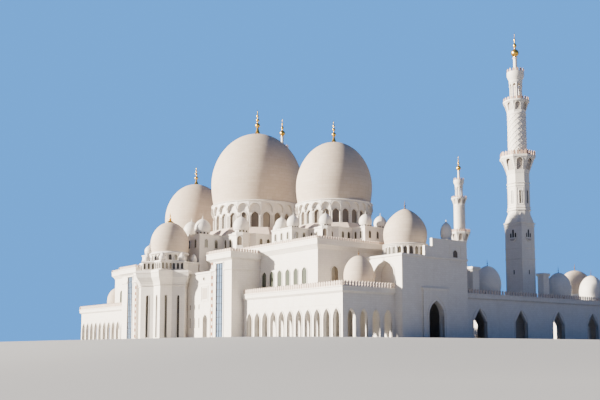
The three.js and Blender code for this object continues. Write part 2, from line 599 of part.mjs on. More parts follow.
// The arcades on the sides and far end of the courtyard, and the portico along the hall
function buildCourtyard() {
  const { inner, outer, start, farInner, farOuter, wall, archWidth, archTop, spring, bay } = COURT;
  const { roofUnder, top, corniceUnder, reach } = ARCADE;
  const pitch = bay / COURT.archesPerBay;
  const roofTop = top - 0.3;
  const minaretClear = [MINARET.nearY, MINARET.farY].map((y) => block(
    [MINARET.x - MINARET.half - GAP, MINARET.x + MINARET.half + GAP],
    [y - MINARET.half - GAP, y + MINARET.half + GAP], [-1, 40]));

  const sideWalls = joined([
    block([outer - wall, outer], [start + GAP, farOuter], [0, top]),
    block([outer - wall, outer + reach], [start + GAP, farOuter + reach], [corniceUnder, top]),
  ]);
  const outerArches = [];
  for (let y = COURT.firstArchY; y < farOuter - archWidth; y += bay) {
    outerArches.push(cutAlongX(archOutline(y, archWidth, -1, spring, archTop, 1), outer - 2, outer + 1));
  }
  addPair('side_arcade_wall', cutBy(sideWalls, outerArches), MARBLE);

  const colonnade = block([inner, inner + wall], [COURT.portico + GAP, farInner + wall], [0, top]);
  const innerArches = [];
  for (let y = COURT.portico + pitch / 2 + 0.8; y < farInner - archWidth / 2; y += pitch) {
    innerArches.push(cutAlongX(archOutline(y, archWidth, -1, spring, archTop, 1), inner - 1, inner + 2));
  }

  const domeYs = [COURT.hallDomeY];
  for (let i = 0; i < COURT.bays; i += 1) domeYs.push(COURT.firstDomeY + i * bay);
  domeYs.push((farInner + farOuter) / 2);
  const middle = (inner + outer) / 2;
  const arcaded = cutBy(colonnade, innerArches);
  const farStretch = block([inner - 1, inner + wall + 1], [MINARET.nearY, MINARET.farY], [-1, top + 1]);
  const sideRoof = joined([
    block([inner + wall + GAP, outer - wall - GAP], [start + GAP, farOuter - wall - GAP], [roofUnder, roofTop]),
    block([inner + 0.1, inner + wall + 0.1], [start + GAP, MINARET.nearY], [roofUnder, roofTop]),
    block([inner + 0.1, inner + wall + 0.1], [MINARET.farY, farOuter - wall - GAP], [roofUnder, roofTop]),
    ...domeYs.map((y) => smallDome(middle, y)),
    ...COURT.pierYs.map((y) => block([COURT.pierFrom, COURT.pierTo], [y, y + COURT.pierDepth],
      [roofTop - 0.1, COURT.pierTop])),
    arcaded.subtract(farStretch),
  ]);
  addPair('side_arcade_roof', cutBy(sideRoof, minaretClear), MARBLE);
  addPair('side_arcade_colonnade', cutBy(arcaded.intersect(farStretch), minaretClear), MARBLE);

  const gateEdge = FAR_GATE.halfWidth + GAP;
  const farWall = joined([
    block([gateEdge, outer - wall - GAP], [farOuter - wall + GAP, farOuter], [0, top]),
    block([gateEdge, outer - wall - GAP], [farOuter - wall + GAP, farOuter + reach], [corniceUnder, top]),
  ]);
  const farColonnade = block([gateEdge, inner - GAP], [farInner, farInner + wall], [0, top]);
  const farArches = [];
  for (let x = gateEdge + pitch / 2; x < inner - archWidth / 2; x += pitch) {
    farArches.push(cutAlongY(archOutline(x, archWidth, -1, spring, archTop, 1), farInner - 1, farInner + 2));
  }
  const farOpenings = [];
  for (let x = bay; x <= COURT.lastBay; x += bay) {
    farOpenings.push(cutAlongY(archOutline(x + COURT.archShift, archWidth, -1, spring, archTop, 1),
      farOuter - 2, farOuter + 1));
  }
  const farRoof = joined([
    block([gateEdge, inner - GAP], [farInner + 0.1, farOuter - 0.1], [roofUnder, roofTop]),
    ...COURT.farDomes.map((x) => smallDome(x, (farInner + farOuter) / 2)),
    cutBy(farWall, farOpenings),
    cutBy(farColonnade, farArches),
  ]);
  addPair('far_arcade', cutBy(farRoof, minaretClear), MARBLE);

  const half = inner - GAP;
  const porticoFront = block([-half, half], [COURT.portico - wall, COURT.portico], [0, top]);
  const porticoArches = [];
  for (let i = -6.5; i <= 6.5; i += 1) {
    porticoArches.push(cutAlongY(archOutline(i * pitch, archWidth, -1, spring, archTop, 1),
      COURT.portico - wall - 1, COURT.portico + 1));
  }
  const portico = joined([
    block([-half, half], [HALL.halfDepth + GAP, COURT.portico - 0.1], [roofUnder, roofTop]),
    ...[-3, -2, -1, 0, 1, 2, 3].map((i) => smallDome(i * bay, COURT.porticoDomeY)),
    cutBy(porticoFront, porticoArches),
  ]);
  addPiece('portico', portico, MARBLE);
}

// The gatehouse in the middle of the far arcade
function buildFarGate() {
  const { halfWidth, front, back, wall, roofUnder, top, archWidth, archSpring, archTop } = FAR_GATE;
  const dome = FAR_DOME;
  const drumInner = dome.footRadius - 0.9;
  const body = joined([
    block([-halfWidth, halfWidth], [front, back], [0, top]),
    block([-halfWidth - 0.6, halfWidth + 0.6], [front - 0.6, back + 0.6], [top - 1.3, top]),
    turned([[0, top - 0.1], [dome.footRadius, top - 0.1], [dome.footRadius, dome.foot - GAP],
      [0, dome.foot - GAP]], 16, dome.x, dome.y),
  ]);
  const inside = block([-halfWidth + wall, halfWidth - wall], [front + wall, back - wall], [-1, roofUnder]);
  const passage = cutAlongY(archOutline(0, archWidth, -2, archSpring, archTop, 3), front - 2, back + 2);
  const eye = turned([[0, roofUnder - 1], [drumInner, roofUnder - 1], [drumInner, dome.foot + 1],
    [0, dome.foot + 1]], 16, dome.x, dome.y);
  addPiece('far_gate', cutBy(body, [inside, passage, eye]), MARBLE);
  addPiece('far_gate_dome', domeShell(dome, 16, 5, 2), IVORY);
}

// One minaret: a square shaft that turns octagonal, a round upper shaft with balconies, and a gold tip
function buildMinaret(name, side, y) {
  const m = MINARET;
  const eighth = Math.PI / 8;
  const corner = 1 / Math.cos(eighth);
  const square = block([m.x - m.half, m.x + m.half], [y - m.half, y + m.half], [0, m.shaftTop]);
  const flare = turned([
    [0, m.shaftTop - 0.1], [m.half * corner, m.shaftTop - 0.1], [m.half * corner, m.shaftTop + 0.6],
    [m.octagon * corner, m.octagonFoot], [m.octagon * corner, m.corbelFoot],
    [m.balcony, m.balconySlab - 0.6], [m.balcony, m.balconyTop - GAP], [0, m.balconyTop - GAP],
  ], 8, m.x, y, eighth);
  const bore = turned([[0, -1], [m.bore, -1], [m.bore, m.balconyTop + 1], [0, m.balconyTop + 1]],
    8, m.x, y, eighth);
  addPiece(`minaret_shaft_${name}`, joined([square, flare]).subtract(bore), MARBLE, side);

  const core = turned([
    [0, m.balconyTop], [m.cylinder, m.balconyTop], [m.cylinder, m.corbel], [m.upperBalcony, m.upperSlab],
    [m.upperBalcony, m.upperTop], [0.7, m.upperTop], [0.7, m.capFoot + 0.2], [0, m.capFoot + 0.2],
  ], 8, m.x, y);
  const columns = [];
  for (let i = 0; i < 6; i += 1) {
    const angle = (i / 6) * Math.PI * 2;
    columns.push(turned([[0, m.upperTop - 0.2], [0.32, m.upperTop - 0.2], [0.32, m.capFoot + 0.2],
      [0, m.capFoot + 0.2]], 4, m.x + m.lantern * Math.cos(angle), y + m.lantern * Math.sin(angle)));
  }
  const cap = turned([
    [0, m.capFoot], [m.lantern + 0.5, m.capFoot], [m.cap, m.capFoot + 2.4], [m.cap, m.capTop],
    [m.neck, m.capTop], [m.neck, m.neckTop - GAP], [0, m.neckTop - GAP],
  ], 8, m.x, y);
  const upperBore = turned([[0, m.balconyTop - 1], [m.bore - 0.1, m.balconyTop - 1], [m.bore - 0.1, m.corbel],
    [0, m.corbel + 1]], 6, m.x, y);
  addPiece(`minaret_upper_${name}`, joined([core, ...columns, cap]).subtract(upperBore), MARBLE, side);

  const spike = turned([
    [0, m.neckTop], [0.5, m.neckTop], [m.ball * 0.9, m.ballCentre - 0.6], [m.ball, m.ballCentre],
    [m.ball * 0.8, m.ballCentre + 0.8], [0.3, m.ballCentre + 1.4], [0.45, m.ballCentre + 3],
    [0.15, m.ballCentre + 4], [0, m.tip],
  ], 6, m.x, y);
  addPiece(`minaret_finial_${name}`, spike, GOLD, side);
}

buildHall();
buildGreatDomes();
buildBay();
buildLinks();
buildPylons();
buildCornerArcades();
buildGates();
buildCourtyard();
buildFarGate();
buildMinaret('near_right', 1, MINARET.nearY);
buildMinaret('near_left', -1, MINARET.nearY);
buildMinaret('far_right', 1, MINARET.farY);
buildMinaret('far_left', -1, MINARET.farY);

export default building;
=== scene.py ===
import json
import math
import time

import bpy
import bmesh
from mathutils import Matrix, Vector
from mathutils.geometry import tessellate_polygon

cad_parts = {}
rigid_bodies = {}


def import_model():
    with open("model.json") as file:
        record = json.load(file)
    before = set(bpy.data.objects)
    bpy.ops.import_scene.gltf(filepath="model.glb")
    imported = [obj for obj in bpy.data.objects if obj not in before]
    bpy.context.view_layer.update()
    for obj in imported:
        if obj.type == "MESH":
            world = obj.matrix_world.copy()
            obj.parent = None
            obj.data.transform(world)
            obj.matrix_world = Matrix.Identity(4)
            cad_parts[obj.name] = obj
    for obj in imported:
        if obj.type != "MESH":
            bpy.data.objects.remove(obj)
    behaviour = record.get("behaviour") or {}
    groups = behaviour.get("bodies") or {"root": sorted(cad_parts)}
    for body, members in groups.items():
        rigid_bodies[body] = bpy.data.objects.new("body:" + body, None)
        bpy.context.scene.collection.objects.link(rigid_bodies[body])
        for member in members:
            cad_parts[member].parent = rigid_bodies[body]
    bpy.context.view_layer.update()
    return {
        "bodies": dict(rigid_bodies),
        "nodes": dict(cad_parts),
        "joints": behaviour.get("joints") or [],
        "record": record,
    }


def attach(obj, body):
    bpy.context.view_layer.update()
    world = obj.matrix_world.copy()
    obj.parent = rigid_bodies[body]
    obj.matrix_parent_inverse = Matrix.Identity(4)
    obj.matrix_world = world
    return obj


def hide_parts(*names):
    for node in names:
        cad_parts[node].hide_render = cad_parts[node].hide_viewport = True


# A domed marble mosque at 1:10. Shapes are written in metres of the real building,
# and makeMesh brings them down to the model. Everything mirrors in X.
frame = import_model()
modelScale = 0.1
startTime = time.time()


def report(text):
    print(f"{text}, {time.time() - startTime:.0f} s")


# Materials

def toLinear(hexColour):
    parts = [int(hexColour[i:i + 2], 16) / 255 for i in (1, 3, 5)]
    return tuple(p / 12.92 if p <= 0.04045 else ((p + 0.055) / 1.055) ** 2.4 for p in parts) + (1.0,)


def addNode(tree, kind, settings=None):
    # a socket among the settings is linked, any other value is set
    node = tree.nodes.new(kind)
    for name, value in (settings or {}).items():
        if isinstance(value, bpy.types.NodeSocket):
            tree.links.new(value, node.inputs[name])
        elif isinstance(name, int) or name in node.inputs:
            node.inputs[name].default_value = value
        else:
            setattr(node, name, value)
    return node


def openMaterial(name):
    # the material, a short way to add shader nodes to it, and its coordinates
    material = bpy.data.materials.new(name)
    material.use_nodes = True
    material.node_tree.nodes.clear()

    def add(kind, settings=None):
        return addNode(material.node_tree, "ShaderNode" + kind, settings)
    return material, add, add("TexCoord").outputs


def closeMaterial(add, settings):
    shader = add("BsdfPrincipled", settings)
    add("OutputMaterial", {"Surface": shader.outputs[0]})


def mixed(add, factor, first, second):
    return add("Mix", {"data_type": "RGBA", 0: factor, 6: first, 7: second}).outputs[2]


def ranged(add, value, low, high, start=0.0, end=1.0):
    limits = {"From Min": start, "From Max": end, "To Min": low, "To Max": high}
    return add("MapRange", {**limits, "Value": value}).outputs[0]


# sizes are in model metres: slabs of 1.2 m by 0.6 m, and joints of 3 mm drawn 16 mm wide to show
stoneLook = {"veinShare": 0.3, "veinScale": 1.9, "streakShare": 0.3, "jointWidth": 0.0016, "slab": (0.12, 0.06),
             "relief": 0.3, "roughness": 0.6, "onSurface": False}


def cladStone(name, look):
    # Sawn and honed slabs: two near tones a slab apart, soft veins, faint joints and rain streaks
    look = {**stoneLook, **look}
    light, dark, joint, vein, streak = [toLinear(tone) for tone in look["tones"]]
    material, add, place = openMaterial(name)
    spot, flat = place["Object"], place["UV"]
    if not look["onSurface"]:
        split = add("SeparateXYZ", {0: spot}).outputs
        along = add("Math", {"operation": "ADD", 0: split[0], 1: split[1]})
        flat = add("CombineXYZ", {0: along.outputs[0], 1: split[2]}).outputs[0]
    slabs = add("TexBrick", {
        "offset": 0.5, "Color1": light, "Color2": dark, "Mortar": joint, "Scale": 1.0, "Bias": 0.0,
        "Mortar Size": look["jointWidth"], "Mortar Smooth": 0.3, "Brick Width": look["slab"][0],
        "Row Height": look["slab"][1], "Vector": flat}).outputs
    veins = add("TexNoise", {"Scale": look["veinScale"], "Detail": 5.0, "Roughness": 0.62, "Distortion": 0.8,
                             "Vector": spot}).outputs[0]
    veined = mixed(add, ranged(add, veins, 0.0, look["veinShare"], 0.35, 0.75), slabs["Color"], vein)
    stretched = add("Mapping", {"Scale": (9.0, 9.0, 0.55), "Vector": spot}).outputs[0]
    streaks = add("TexNoise", {"Scale": 1.0, "Detail": 3.0, "Roughness": 0.6, "Vector": stretched}).outputs[0]
    weathered = mixed(add, ranged(add, streaks, 0.0, look["streakShare"], 0.52, 0.8), veined, streak)
    grain = add("TexNoise", {"Scale": 60.0, "Detail": 3.0, "Vector": spot}).outputs[0]
    height = add("Math", {"operation": "MULTIPLY_ADD", 0: slabs["Fac"], 1: -1.0, 2: grain}).outputs[0]
    bump = add("Bump", {"Strength": look["relief"], "Distance": 0.004, "Height": height}).outputs[0]
    gloss = ranged(add, veins, look["roughness"] - 0.07, look["roughness"] + 0.07)
    closeMaterial(add, {"IOR": 1.49, "Base Color": weathered, "Roughness": gloss, "Normal": bump})
    return material


def mottledMetal(name, look):
    # Warm metal with soft mottling in tone and gloss
    material, add, place = openMaterial(name)
    mottle = add("TexNoise", {"Scale": 18.0, "Detail": 4.0, "Vector": place["Object"]}).outputs[0]
    tone = mixed(add, mottle, toLinear(look["light"]), toLinear(look["dark"]))
    closeMaterial(add, {"Metallic": 1.0, "Base Color": tone, "Roughness": ranged(add, mottle, *look["gloss"])})
    return material


def polishedPane(name, look):
    # Coated float glass or polished stone: a flat tint that turns lighter or darker from pane to pane
    material, add, place = openMaterial(name)
    cloud = add("TexNoise", {"Scale": look["patch"], "Detail": 3.0, "Vector": place["Object"]}).outputs[0]
    tone = mixed(add, cloud, toLinear(look["deep"]), toLinear(look["pale"]))
    ripple = add("Bump", {"Strength": 0.05, "Distance": 0.004, "Height": cloud}).outputs[0]
    closeMaterial(add, {"Roughness": look["roughness"], "IOR": 1.52, "Coat Weight": look["coat"],
                        "Coat Roughness": 0.05, "Base Color": tone, "Normal": ripple})
    return material


# White marble of the walls. The tones are light slab, dark slab, joint, vein and streak.
whiteMarble = cladStone("honedWhiteMarble", {
    "tones": ("#ddd7ce", "#d8d1c7", "#c1b9ae", "#c4baad", "#b5a798"), "veinScale": 1.7, "streakShare": 0.22,
    "relief": 0.25, "roughness": 0.58})
# The same marble on the domes, in rings of 1.1 m that follow the curve, a little warmer and darker than the walls
domeMarble = cladStone("honedDomeMarble", {
    "tones": ("#c2b2a0", "#bbaa97", "#a18f7b", "#af9d88", "#a28e77"), "veinShare": 0.32, "veinScale": 1.3,
    "streakShare": 0.2, "jointWidth": 0.0022, "slab": (0.22, 0.11), "relief": 0.2, "roughness": 0.72,
    "onSurface": True})
# Rougher pinkish marble of the merlons, screens and skirt roofs: a pinkish tint, painted a tone darker as painted
# shade
pinkMarble = cladStone("pinkMarbleWithPaintedShade", {
    "tones": ("#cbb9aa", "#c2af9f", "#a99584", "#b5a08d", "#a08a77"), "veinShare": 0.35, "veinScale": 2.2})
# Tan stone of the tower rails, sunburnt and dusty
tanMarble = cladStone("honedTanStone", {
    "tones": ("#b99a85", "#ad8d77", "#8d705d", "#a08069", "#8f715c"), "veinShare": 0.35, "veinScale": 2.2})
# Marble painted a tone darker as painted shade, for niche backs, recessed panels and hidden cores set back from the
# light
shadedMarble = cladStone("paintedShadeMarble", {
    "tones": ("#b3a79b", "#aa9e91", "#8f8477", "#9c9083", "#8a7d6f"), "relief": 0.25})
# Pale roofing stone, laid in 0.6 m squares and walked on
roofStone = cladStone("sandblastedRoofStone", {
    "tones": ("#d8cdbf", "#d0c4b5", "#b6a999", "#c4b6a5", "#b3a390"), "streakShare": 0.2, "slab": (0.06, 0.06),
    "roughness": 0.7})
# Gilded mosaic over brass on the great finials, bright and warm
gold = mottledMetal("gildedBrass", {"light": "#ecc464", "dark": "#cf9c3a", "gloss": (0.18, 0.42)})
# Weathered bronze on the thin finials of the small domes, brown and dull
bronze = mottledMetal("weatheredBronze", {"light": "#8a6b43", "dark": "#5c4630", "gloss": (0.45, 0.65)})
# Small windows, which show little but the dark behind them
darkGlass = polishedPane("bronzeTintedGlass", {"deep": "#2e2b28", "pale": "#57503f", "patch": 2.5,
                                              "roughness": 0.25, "coat": 0.3})
# Drum windows, paler because light comes through from the far side
smokeGlass = polishedPane("smokeTintedGlass", {"deep": "#4f463c", "pale": "#7a6e5d", "patch": 2.5,
                                              "roughness": 0.3, "coat": 0.2})
# Leaded glass of the hall's front, green in the sun
oliveGlass = polishedPane("oliveTintedGlass", {"deep": "#373d30", "pale": "#4c513e", "patch": 3.0,
                                              "roughness": 0.3, "coat": 0.4})
# The same leaded glass on the shaded sides, painted brown as painted shade
paintedShadeGlass = polishedPane("leadedGlassInPaintedShade", {"deep": "#4f4330", "pale": "#685a41", "patch": 3.0,
                                              "roughness": 0.3, "coat": 0.4})
# Reflective sheets of the pylons, their blue-grey tone a painted sky reflection
blueGlass = polishedPane("blueGreyReflectiveGlass", {"deep": "#566b86", "pale": "#7489a3", "patch": 0.9,
                                                    "roughness": 0.12, "coat": 0.8})
# Inlay beside the pylons' glass
inlayStone = polishedPane("polishedBrownInlayStone", {"deep": "#6b4a35", "pale": "#94694b", "patch": 9.0,
                                                     "roughness": 0.35, "coat": 0.2})
report("materials ready")


# Shapes are kept as plain lists until they become a piece

def newShape():
    return {"points": [], "faces": [], "finish": []}


def addFaces(shape, points, faces, finish=0):
    start = len(shape["points"])
    shape["points"] += points
    shape["faces"] += [tuple(start + i for i in face) for face in faces]
    shape["finish"] += [finish] * len(faces)


def onWall(x, y, z, degrees):
    # across, up and out on a wall; 0 degrees faces -Y and 90 faces +X
    angle = math.radians(degrees)
    across, out = (math.cos(angle), math.sin(angle)), (math.sin(angle), -math.cos(angle))
    return lambda u, v, w: (x + across[0] * u + out[0] * w, y + across[1] * u + out[1] * w, z + v)


def rectangle(u0, u1, v0, v1):
    return [(u0, v0), (u1, v0), (u1, v1), (u0, v1)]


def plate(shape, place, outline, low, high, holes=(), finish=0):
    # an outline, with or without holes, given thickness
    loops = [list(outline)] + [list(hole) for hole in holes]
    flat = [point for loop in loops for point in loop]
    count = len(flat)
    points = [place(u, v, w) for w in (low, high) for u, v in flat]
    faces = []
    if holes:
        for a, b, c in tessellate_polygon([[Vector((u, v, 0)) for u, v in loop] for loop in loops]):
            faces += [(a, b, c), (count + c, count + b, count + a)]
    else:
        faces = [tuple(range(count)), tuple(range(2 * count - 1, count - 1, -1))]
    first = 0
    for loop in loops:
        for i in range(len(loop)):
            a, b = first + i, first + (i + 1) % len(loop)
            faces.append((a, b, count + b, count + a))
        first += len(loop)
    addFaces(shape, points, faces, finish)


def upright(shape, plan, low, high):
    plate(shape, lambda u, v, w: (u, v, w), plan, low, high)


def turned(shape, profile, sides, centre=(0, 0), finish=0, turn=0.0, ring=False):
    # profile runs as (radius, height); a ring closes on itself, other profiles start and end on the axis
    rings, points, faces = [], [], []
    for radius, height in profile:
        if radius < 1e-6:
            rings.append([len(points)] * sides)
            points.append((*centre, height))
            continue
        rings.append(list(range(len(points), len(points) + sides)))
        for i in range(sides):
            angle = math.radians(turn) + 2 * math.pi * i / sides
            points.append((centre[0] + radius * math.sin(angle), centre[1] - radius * math.cos(angle), height))
    for lower, upper in list(zip(rings, rings[1:])) + ([(rings[-1], rings[0])] if ring else []):
        for i in range(sides):
            j = (i + 1) % sides
            corners = tuple(dict.fromkeys((lower[i], lower[j], upper[j], upper[i])))
            if len(corners) > 2:
                faces.append(corners)
    addFaces(shape, points, faces, finish)


def turnedColumn(shape, spot, low, high, radius, sides=8):
    turned(shape, [(0, low), (radius * 1.5, low), (radius * 1.5, low + radius), (radius, low + radius * 1.6),
                   (radius, high - radius * 2.4), (radius * 1.3, high - radius * 2), (radius, high - radius * 1.6),
                   (radius * 1.7, high - radius * 0.4), (radius * 1.7, high), (0, high)], sides, spot[:2])


def moulding(shape, path, profile, closed=True):
    # sweeps (out, up) points along a plan that runs anticlockwise, with mitred corners
    count, size = len(path), len(profile)
    spans = count if closed else count - 1
    normals = []
    for i in range(spans):
        (x0, y0), (x1, y1) = path[i], path[(i + 1) % count]
        length = math.hypot(x1 - x0, y1 - y0)
        normals.append(((y1 - y0) / length, -(x1 - x0) / length))
    points, faces = [], []
    for i, (x, y) in enumerate(path):
        before = normals[i - 1] if closed or i > 0 else normals[0]
        after = normals[i] if closed or i < count - 1 else normals[-1]
        share = 1 + before[0] * after[0] + before[1] * after[1]
        mx, my = (before[0] + after[0]) / share, (before[1] + after[1]) / share
        points += [(x + mx * out, y + my * out, up) for out, up in profile]
    for i in range(spans):
        j = (i + 1) % count
        for k in range(size):
            m = (k + 1) % size
            faces.append((i * size + k, j * size + k, j * size + m, i * size + m))
    if not closed:
        faces += [tuple(range(size)), tuple((count - 1) * size + k for k in range(size - 1, -1, -1))]
    addFaces(shape, points, faces)


def archCurve(centre, width, foot, spring, top, steps=8, pointed=True):
    # from the right foot over the crown to the left foot
    half = []
    for i in range(steps + 1):
        if pointed:
            angle = i / steps * math.pi / 3
            u, rise = width * (math.cos(angle) - 0.5), math.sin(angle) / math.sin(math.pi / 3)
        else:
            angle = i / steps * math.pi / 2
            u, rise = width / 2 * math.cos(angle), math.sin(angle)
        half.append((u, spring + (top - spring) * rise))
    curve = [(centre + u, v) for u, v in half] + [(centre - u, v) for u, v in reversed(half[:-1])]
    return [(centre + width / 2, foot)] + curve + [(centre - width / 2, foot)]


def archBand(shape, place, arch, band, low, high, steps=8, pointed=True):
    centre, width, foot, spring, top = arch
    inner = archCurve(*arch, steps, pointed)
    outer = archCurve(centre, width + 2 * band, foot, spring, top + band * 1.1, steps, pointed)
    plate(shape, place, outer + inner[::-1], low, high)


def archPane(shape, place, arch, low, high, steps=8):
    plate(shape, place, archCurve(*arch, steps), low, high)


def archLight(stone, glass, place, arch, low, pane, band, out, steps=4):
    # an arched window: its pane and the band round it
    archPane(glass, place, arch, low, pane, steps)
    archBand(stone, place, arch, band, low, out, steps)


def windowShapes(width, height, band=0.16, pane=0.04):
    # frame with a sill, and pane, of a small window that stands at its sill
    stone, glass = newShape(), newShape()
    place = onWall(0, 0, 0, 0)
    arch = (0, width, 0, height - width * 0.62, height)
    archBand(stone, place, arch, band, -0.2, 0.16, 6)
    side = width / 2 + band * 1.4
    plate(stone, place, rectangle(-side, side, -band, 0), -0.2, 0.26)
    archPane(glass, place, arch, -0.1, pane, 6)
    return stone, glass


# Pieces

def makeMesh(name, shape, finishes, smoothBelow=30):
    mesh = bpy.data.meshes.new(name)
    points = [tuple(value * modelScale for value in point) for point in shape["points"]]
    mesh.from_pydata(points, [], shape["faces"])
    for finish in finishes:
        mesh.materials.append(finish)
    mesh.polygons.foreach_set("material_index", shape["finish"])
    work = bmesh.new()
    work.from_mesh(mesh)
    bmesh.ops.recalc_face_normals(work, faces=work.faces)
    work.to_mesh(mesh)
    work.free()
    mesh.polygons.foreach_set("use_smooth", [True] * len(mesh.polygons))
    mesh.set_sharp_from_angle(angle=math.radians(smoothBelow))
    return mesh


def linked(name, data):
    thing = bpy.data.objects.new(name, data)
    bpy.context.scene.collection.objects.link(thing)
    return thing


def settle(name, mesh, replaced=()):
    piece = linked(name, mesh)
    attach(piece, "root")
    if replaced:
        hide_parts(*replaced)
    return piece


def makePiece(name, shape, finishes, replaced=(), smoothBelow=30, mirrored=False):
    if mirrored:
        twin = [tuple(reversed(face)) for face in shape["faces"]]
        finish = shape["finish"][:]
        addFaces(shape, [(-x, y, z) for x, y, z in shape["points"]], twin)
        shape["finish"] = finish * 2
    return settle(name, makeMesh(name, shape, finishes, smoothBelow), replaced)


def openTree(name, inputs):
    tree = bpy.data.node_groups.new(name, "GeometryNodeTree")
    for label, kind in [("Geometry", "Geometry"), ("Shape", "Object"), ("Finish", "Material")] + inputs:
        tree.interface.new_socket(label, in_out="INPUT", socket_type="NodeSocket" + kind)
    tree.interface.new_socket("Geometry", in_out="OUTPUT", socket_type="NodeSocketGeometry")
    entry = addNode(tree, "NodeGroupInput").outputs
    shape = addNode(tree, "GeometryNodeObjectInfo", {"Object": entry["Shape"]})
    return tree, entry, shape.outputs["Geometry"]


def closeTree(tree, entry, points, shape, rotation, settings):
    stood = addNode(tree, "GeometryNodeInstanceOnPoints", {"Points": points, "Instance": shape,
                                                          "Rotation": rotation, **settings})
    solid = addNode(tree, "GeometryNodeRealizeInstances", {0: stood.outputs[0]})
    coated = addNode(tree, "GeometryNodeSetMaterial", {"Geometry": solid.outputs[0], "Material": entry["Finish"]})
    addNode(tree, "NodeGroupOutput", {0: coated.outputs[0]})
    return tree


def repeatTree():
    # stands a shape on every point, turned by the point's own angle and scaled by its own size
    tree, entry, shape = openTree("standOnPoints", [])
    turn, size = [addNode(tree, "GeometryNodeInputNamedAttribute", {"data_type": "FLOAT", "Name": name})
                  for name in ("turn", "size")]
    upturn = addNode(tree, "ShaderNodeCombineXYZ", {2: turn.outputs["Attribute"]})
    rotation = addNode(tree, "FunctionNodeEulerToRotation", {0: upturn.outputs[0]})
    points = addNode(tree, "GeometryNodeMeshToPoints", {0: entry["Geometry"]})
    return closeTree(tree, entry, points.outputs[0], shape, rotation.outputs[0], {"Scale": size.outputs["Attribute"]})


def rowTree():
    # resamples each straight run at a pitch and stands a shape along it
    tree, entry, shape = openTree("rowAlongRuns", [("Pitch", "Float")])
    runs = addNode(tree, "GeometryNodeMeshToCurve", {0: entry["Geometry"]})
    spaced = addNode(tree, "GeometryNodeResampleCurve", {"mode": "LENGTH", "Curve": runs.outputs[0],
                                                        "Length": entry["Pitch"]})
    points = addNode(tree, "GeometryNodeCurveToPoints", {"mode": "EVALUATED", 0: spaced.outputs[0]})
    along = addNode(tree, "FunctionNodeAlignRotationToVector", {"axis": "X", "pivot_axis": "Z",
                                                               "Vector": points.outputs["Tangent"]})
    return closeTree(tree, entry, points.outputs["Points"], shape, along.outputs[0], {})


standOnPoints, rowAlongRuns = repeatTree(), rowTree()


def growPiece(name, shape, finish, carrier, tree, settings, replaced=()):
    # runs a tree on a carrier mesh and keeps what grows on it as one plain mesh
    source = linked(name + "Source", makeMesh(name + "Source", shape, [finish]))
    holder = linked(name, carrier)
    modifier = holder.modifiers.new("repeat", "NODES")
    modifier.node_group = tree
    settings = {"Shape": source, "Finish": finish, **settings}
    for item in tree.interface.items_tree:
        if item.in_out == "INPUT" and item.name in settings:
            modifier[item.identifier] = settings[item.name]
    holder.update_tag()
    bpy.context.view_layer.update()
    evaluated = holder.evaluated_get(bpy.context.evaluated_depsgraph_get())
    mesh = bpy.data.meshes.new_from_object(evaluated)
    mesh.name = name
    holder.modifiers.clear()
    for thing in (holder, source):
        bpy.data.objects.remove(thing)
    return settle(name, mesh, replaced)


def standPieces(name, shape, spots, finish=whiteMarble, replaced=()):
    # spots are (x, y, z, degrees, size)
    carrier = bpy.data.meshes.new(name + "Spots")
    carrier.from_pydata([tuple(value * modelScale for value in spot[:3]) for spot in spots], [], [])
    for label, values in (("turn", [math.radians(spot[3]) for spot in spots]), ("size", [spot[4] for spot in spots])):
        carrier.attributes.new(label, "FLOAT", "POINT").data.foreach_set("value", values)
    return growPiece(name, shape, finish, carrier, standOnPoints, {}, replaced)


def standPair(names, shapes, spots, glass=darkGlass, replaced=()):
    # stone and glass of the same windows
    standPieces(names[0], shapes[0], spots, whiteMarble, replaced)
    standPieces(names[1], shapes[1], spots, glass)


def rowPieces(name, width, height, runs, pitch):
    # a row of leaf-shaped merlons along runs, which are pairs of end points
    shape, half = newShape(), width / 2
    leaf = [(1, 0), (1, 0.3), (0.72, 0.4), (1, 0.56), (0.96, 0.72), (0.6, 0.88), (0, 1)]
    outline = [(half * u, height * v) for u, v in leaf + [(-u, v) for u, v in reversed(leaf[:-1])]]
    plate(shape, onWall(0, 0, 0, 0), outline, -0.13, 0.13)
    carrier = bpy.data.meshes.new(name + "Runs")
    ends = [tuple(value * modelScale for value in end) for run in runs for end in run]
    carrier.from_pydata(ends, [(2 * i, 2 * i + 1) for i in range(len(runs))], [])
    return growPiece(name, shape, pinkMarble, carrier, rowAlongRuns, {"Pitch": pitch * modelScale})


def bothSides(spots):
    return spots + [(-x, y, z, -degrees, size) for x, y, z, degrees, size in spots]


def bothRuns(runs):
    return runs + [((-a[0], *a[1:]), (-b[0], *b[1:])) for a, b in runs]


def edgeRuns(points, z):
    return [((*a, z), (*b, z)) for a, b in zip(points, points[1:])]


def bothX(x):
    return (-x, x) if x else (0.0,)


# Domes: shells with a slight inward curve at the foot

flankX = 42.87
mainDome = {"x": 0.0, "y": 0.0, "radius": 16.4, "foot": 48.0, "footRadius": 15.5, "widest": 56.0,
            "apex": 74.6, "tip": 84.1, "shell": 1.0, "drumRadius": 15.4, "drumFoot": 38.4,
            "windowTop": 44.0, "windowWidth": 2.55, "browFoot": 44.8, "browTop": 46.9}
flankDome = {"x": flankX, "y": 0.0, "radius": 12.1, "foot": 42.9, "footRadius": 11.5, "widest": 48.6,
             "apex": 63.1, "tip": 70.6, "shell": 0.8, "drumRadius": 11.5, "drumFoot": 35.4,
             "windowTop": 40.0, "windowWidth": 2.05, "browFoot": 40.3, "browTop": 42.0}
bayDome = {"x": 0.0, "y": -35.1, "radius": 6.3, "foot": 28.9, "footRadius": 5.8, "widest": 31.9,
           "apex": 39.2, "tip": 42.6, "shell": 0.6}
gateDome = {"x": 74.4, "y": 0.0, "radius": 6.25, "foot": 26.9, "footRadius": 5.8, "widest": 30.0,
            "apex": 37.4, "tip": 40.0, "shell": 0.6, "pointed": 1.4}
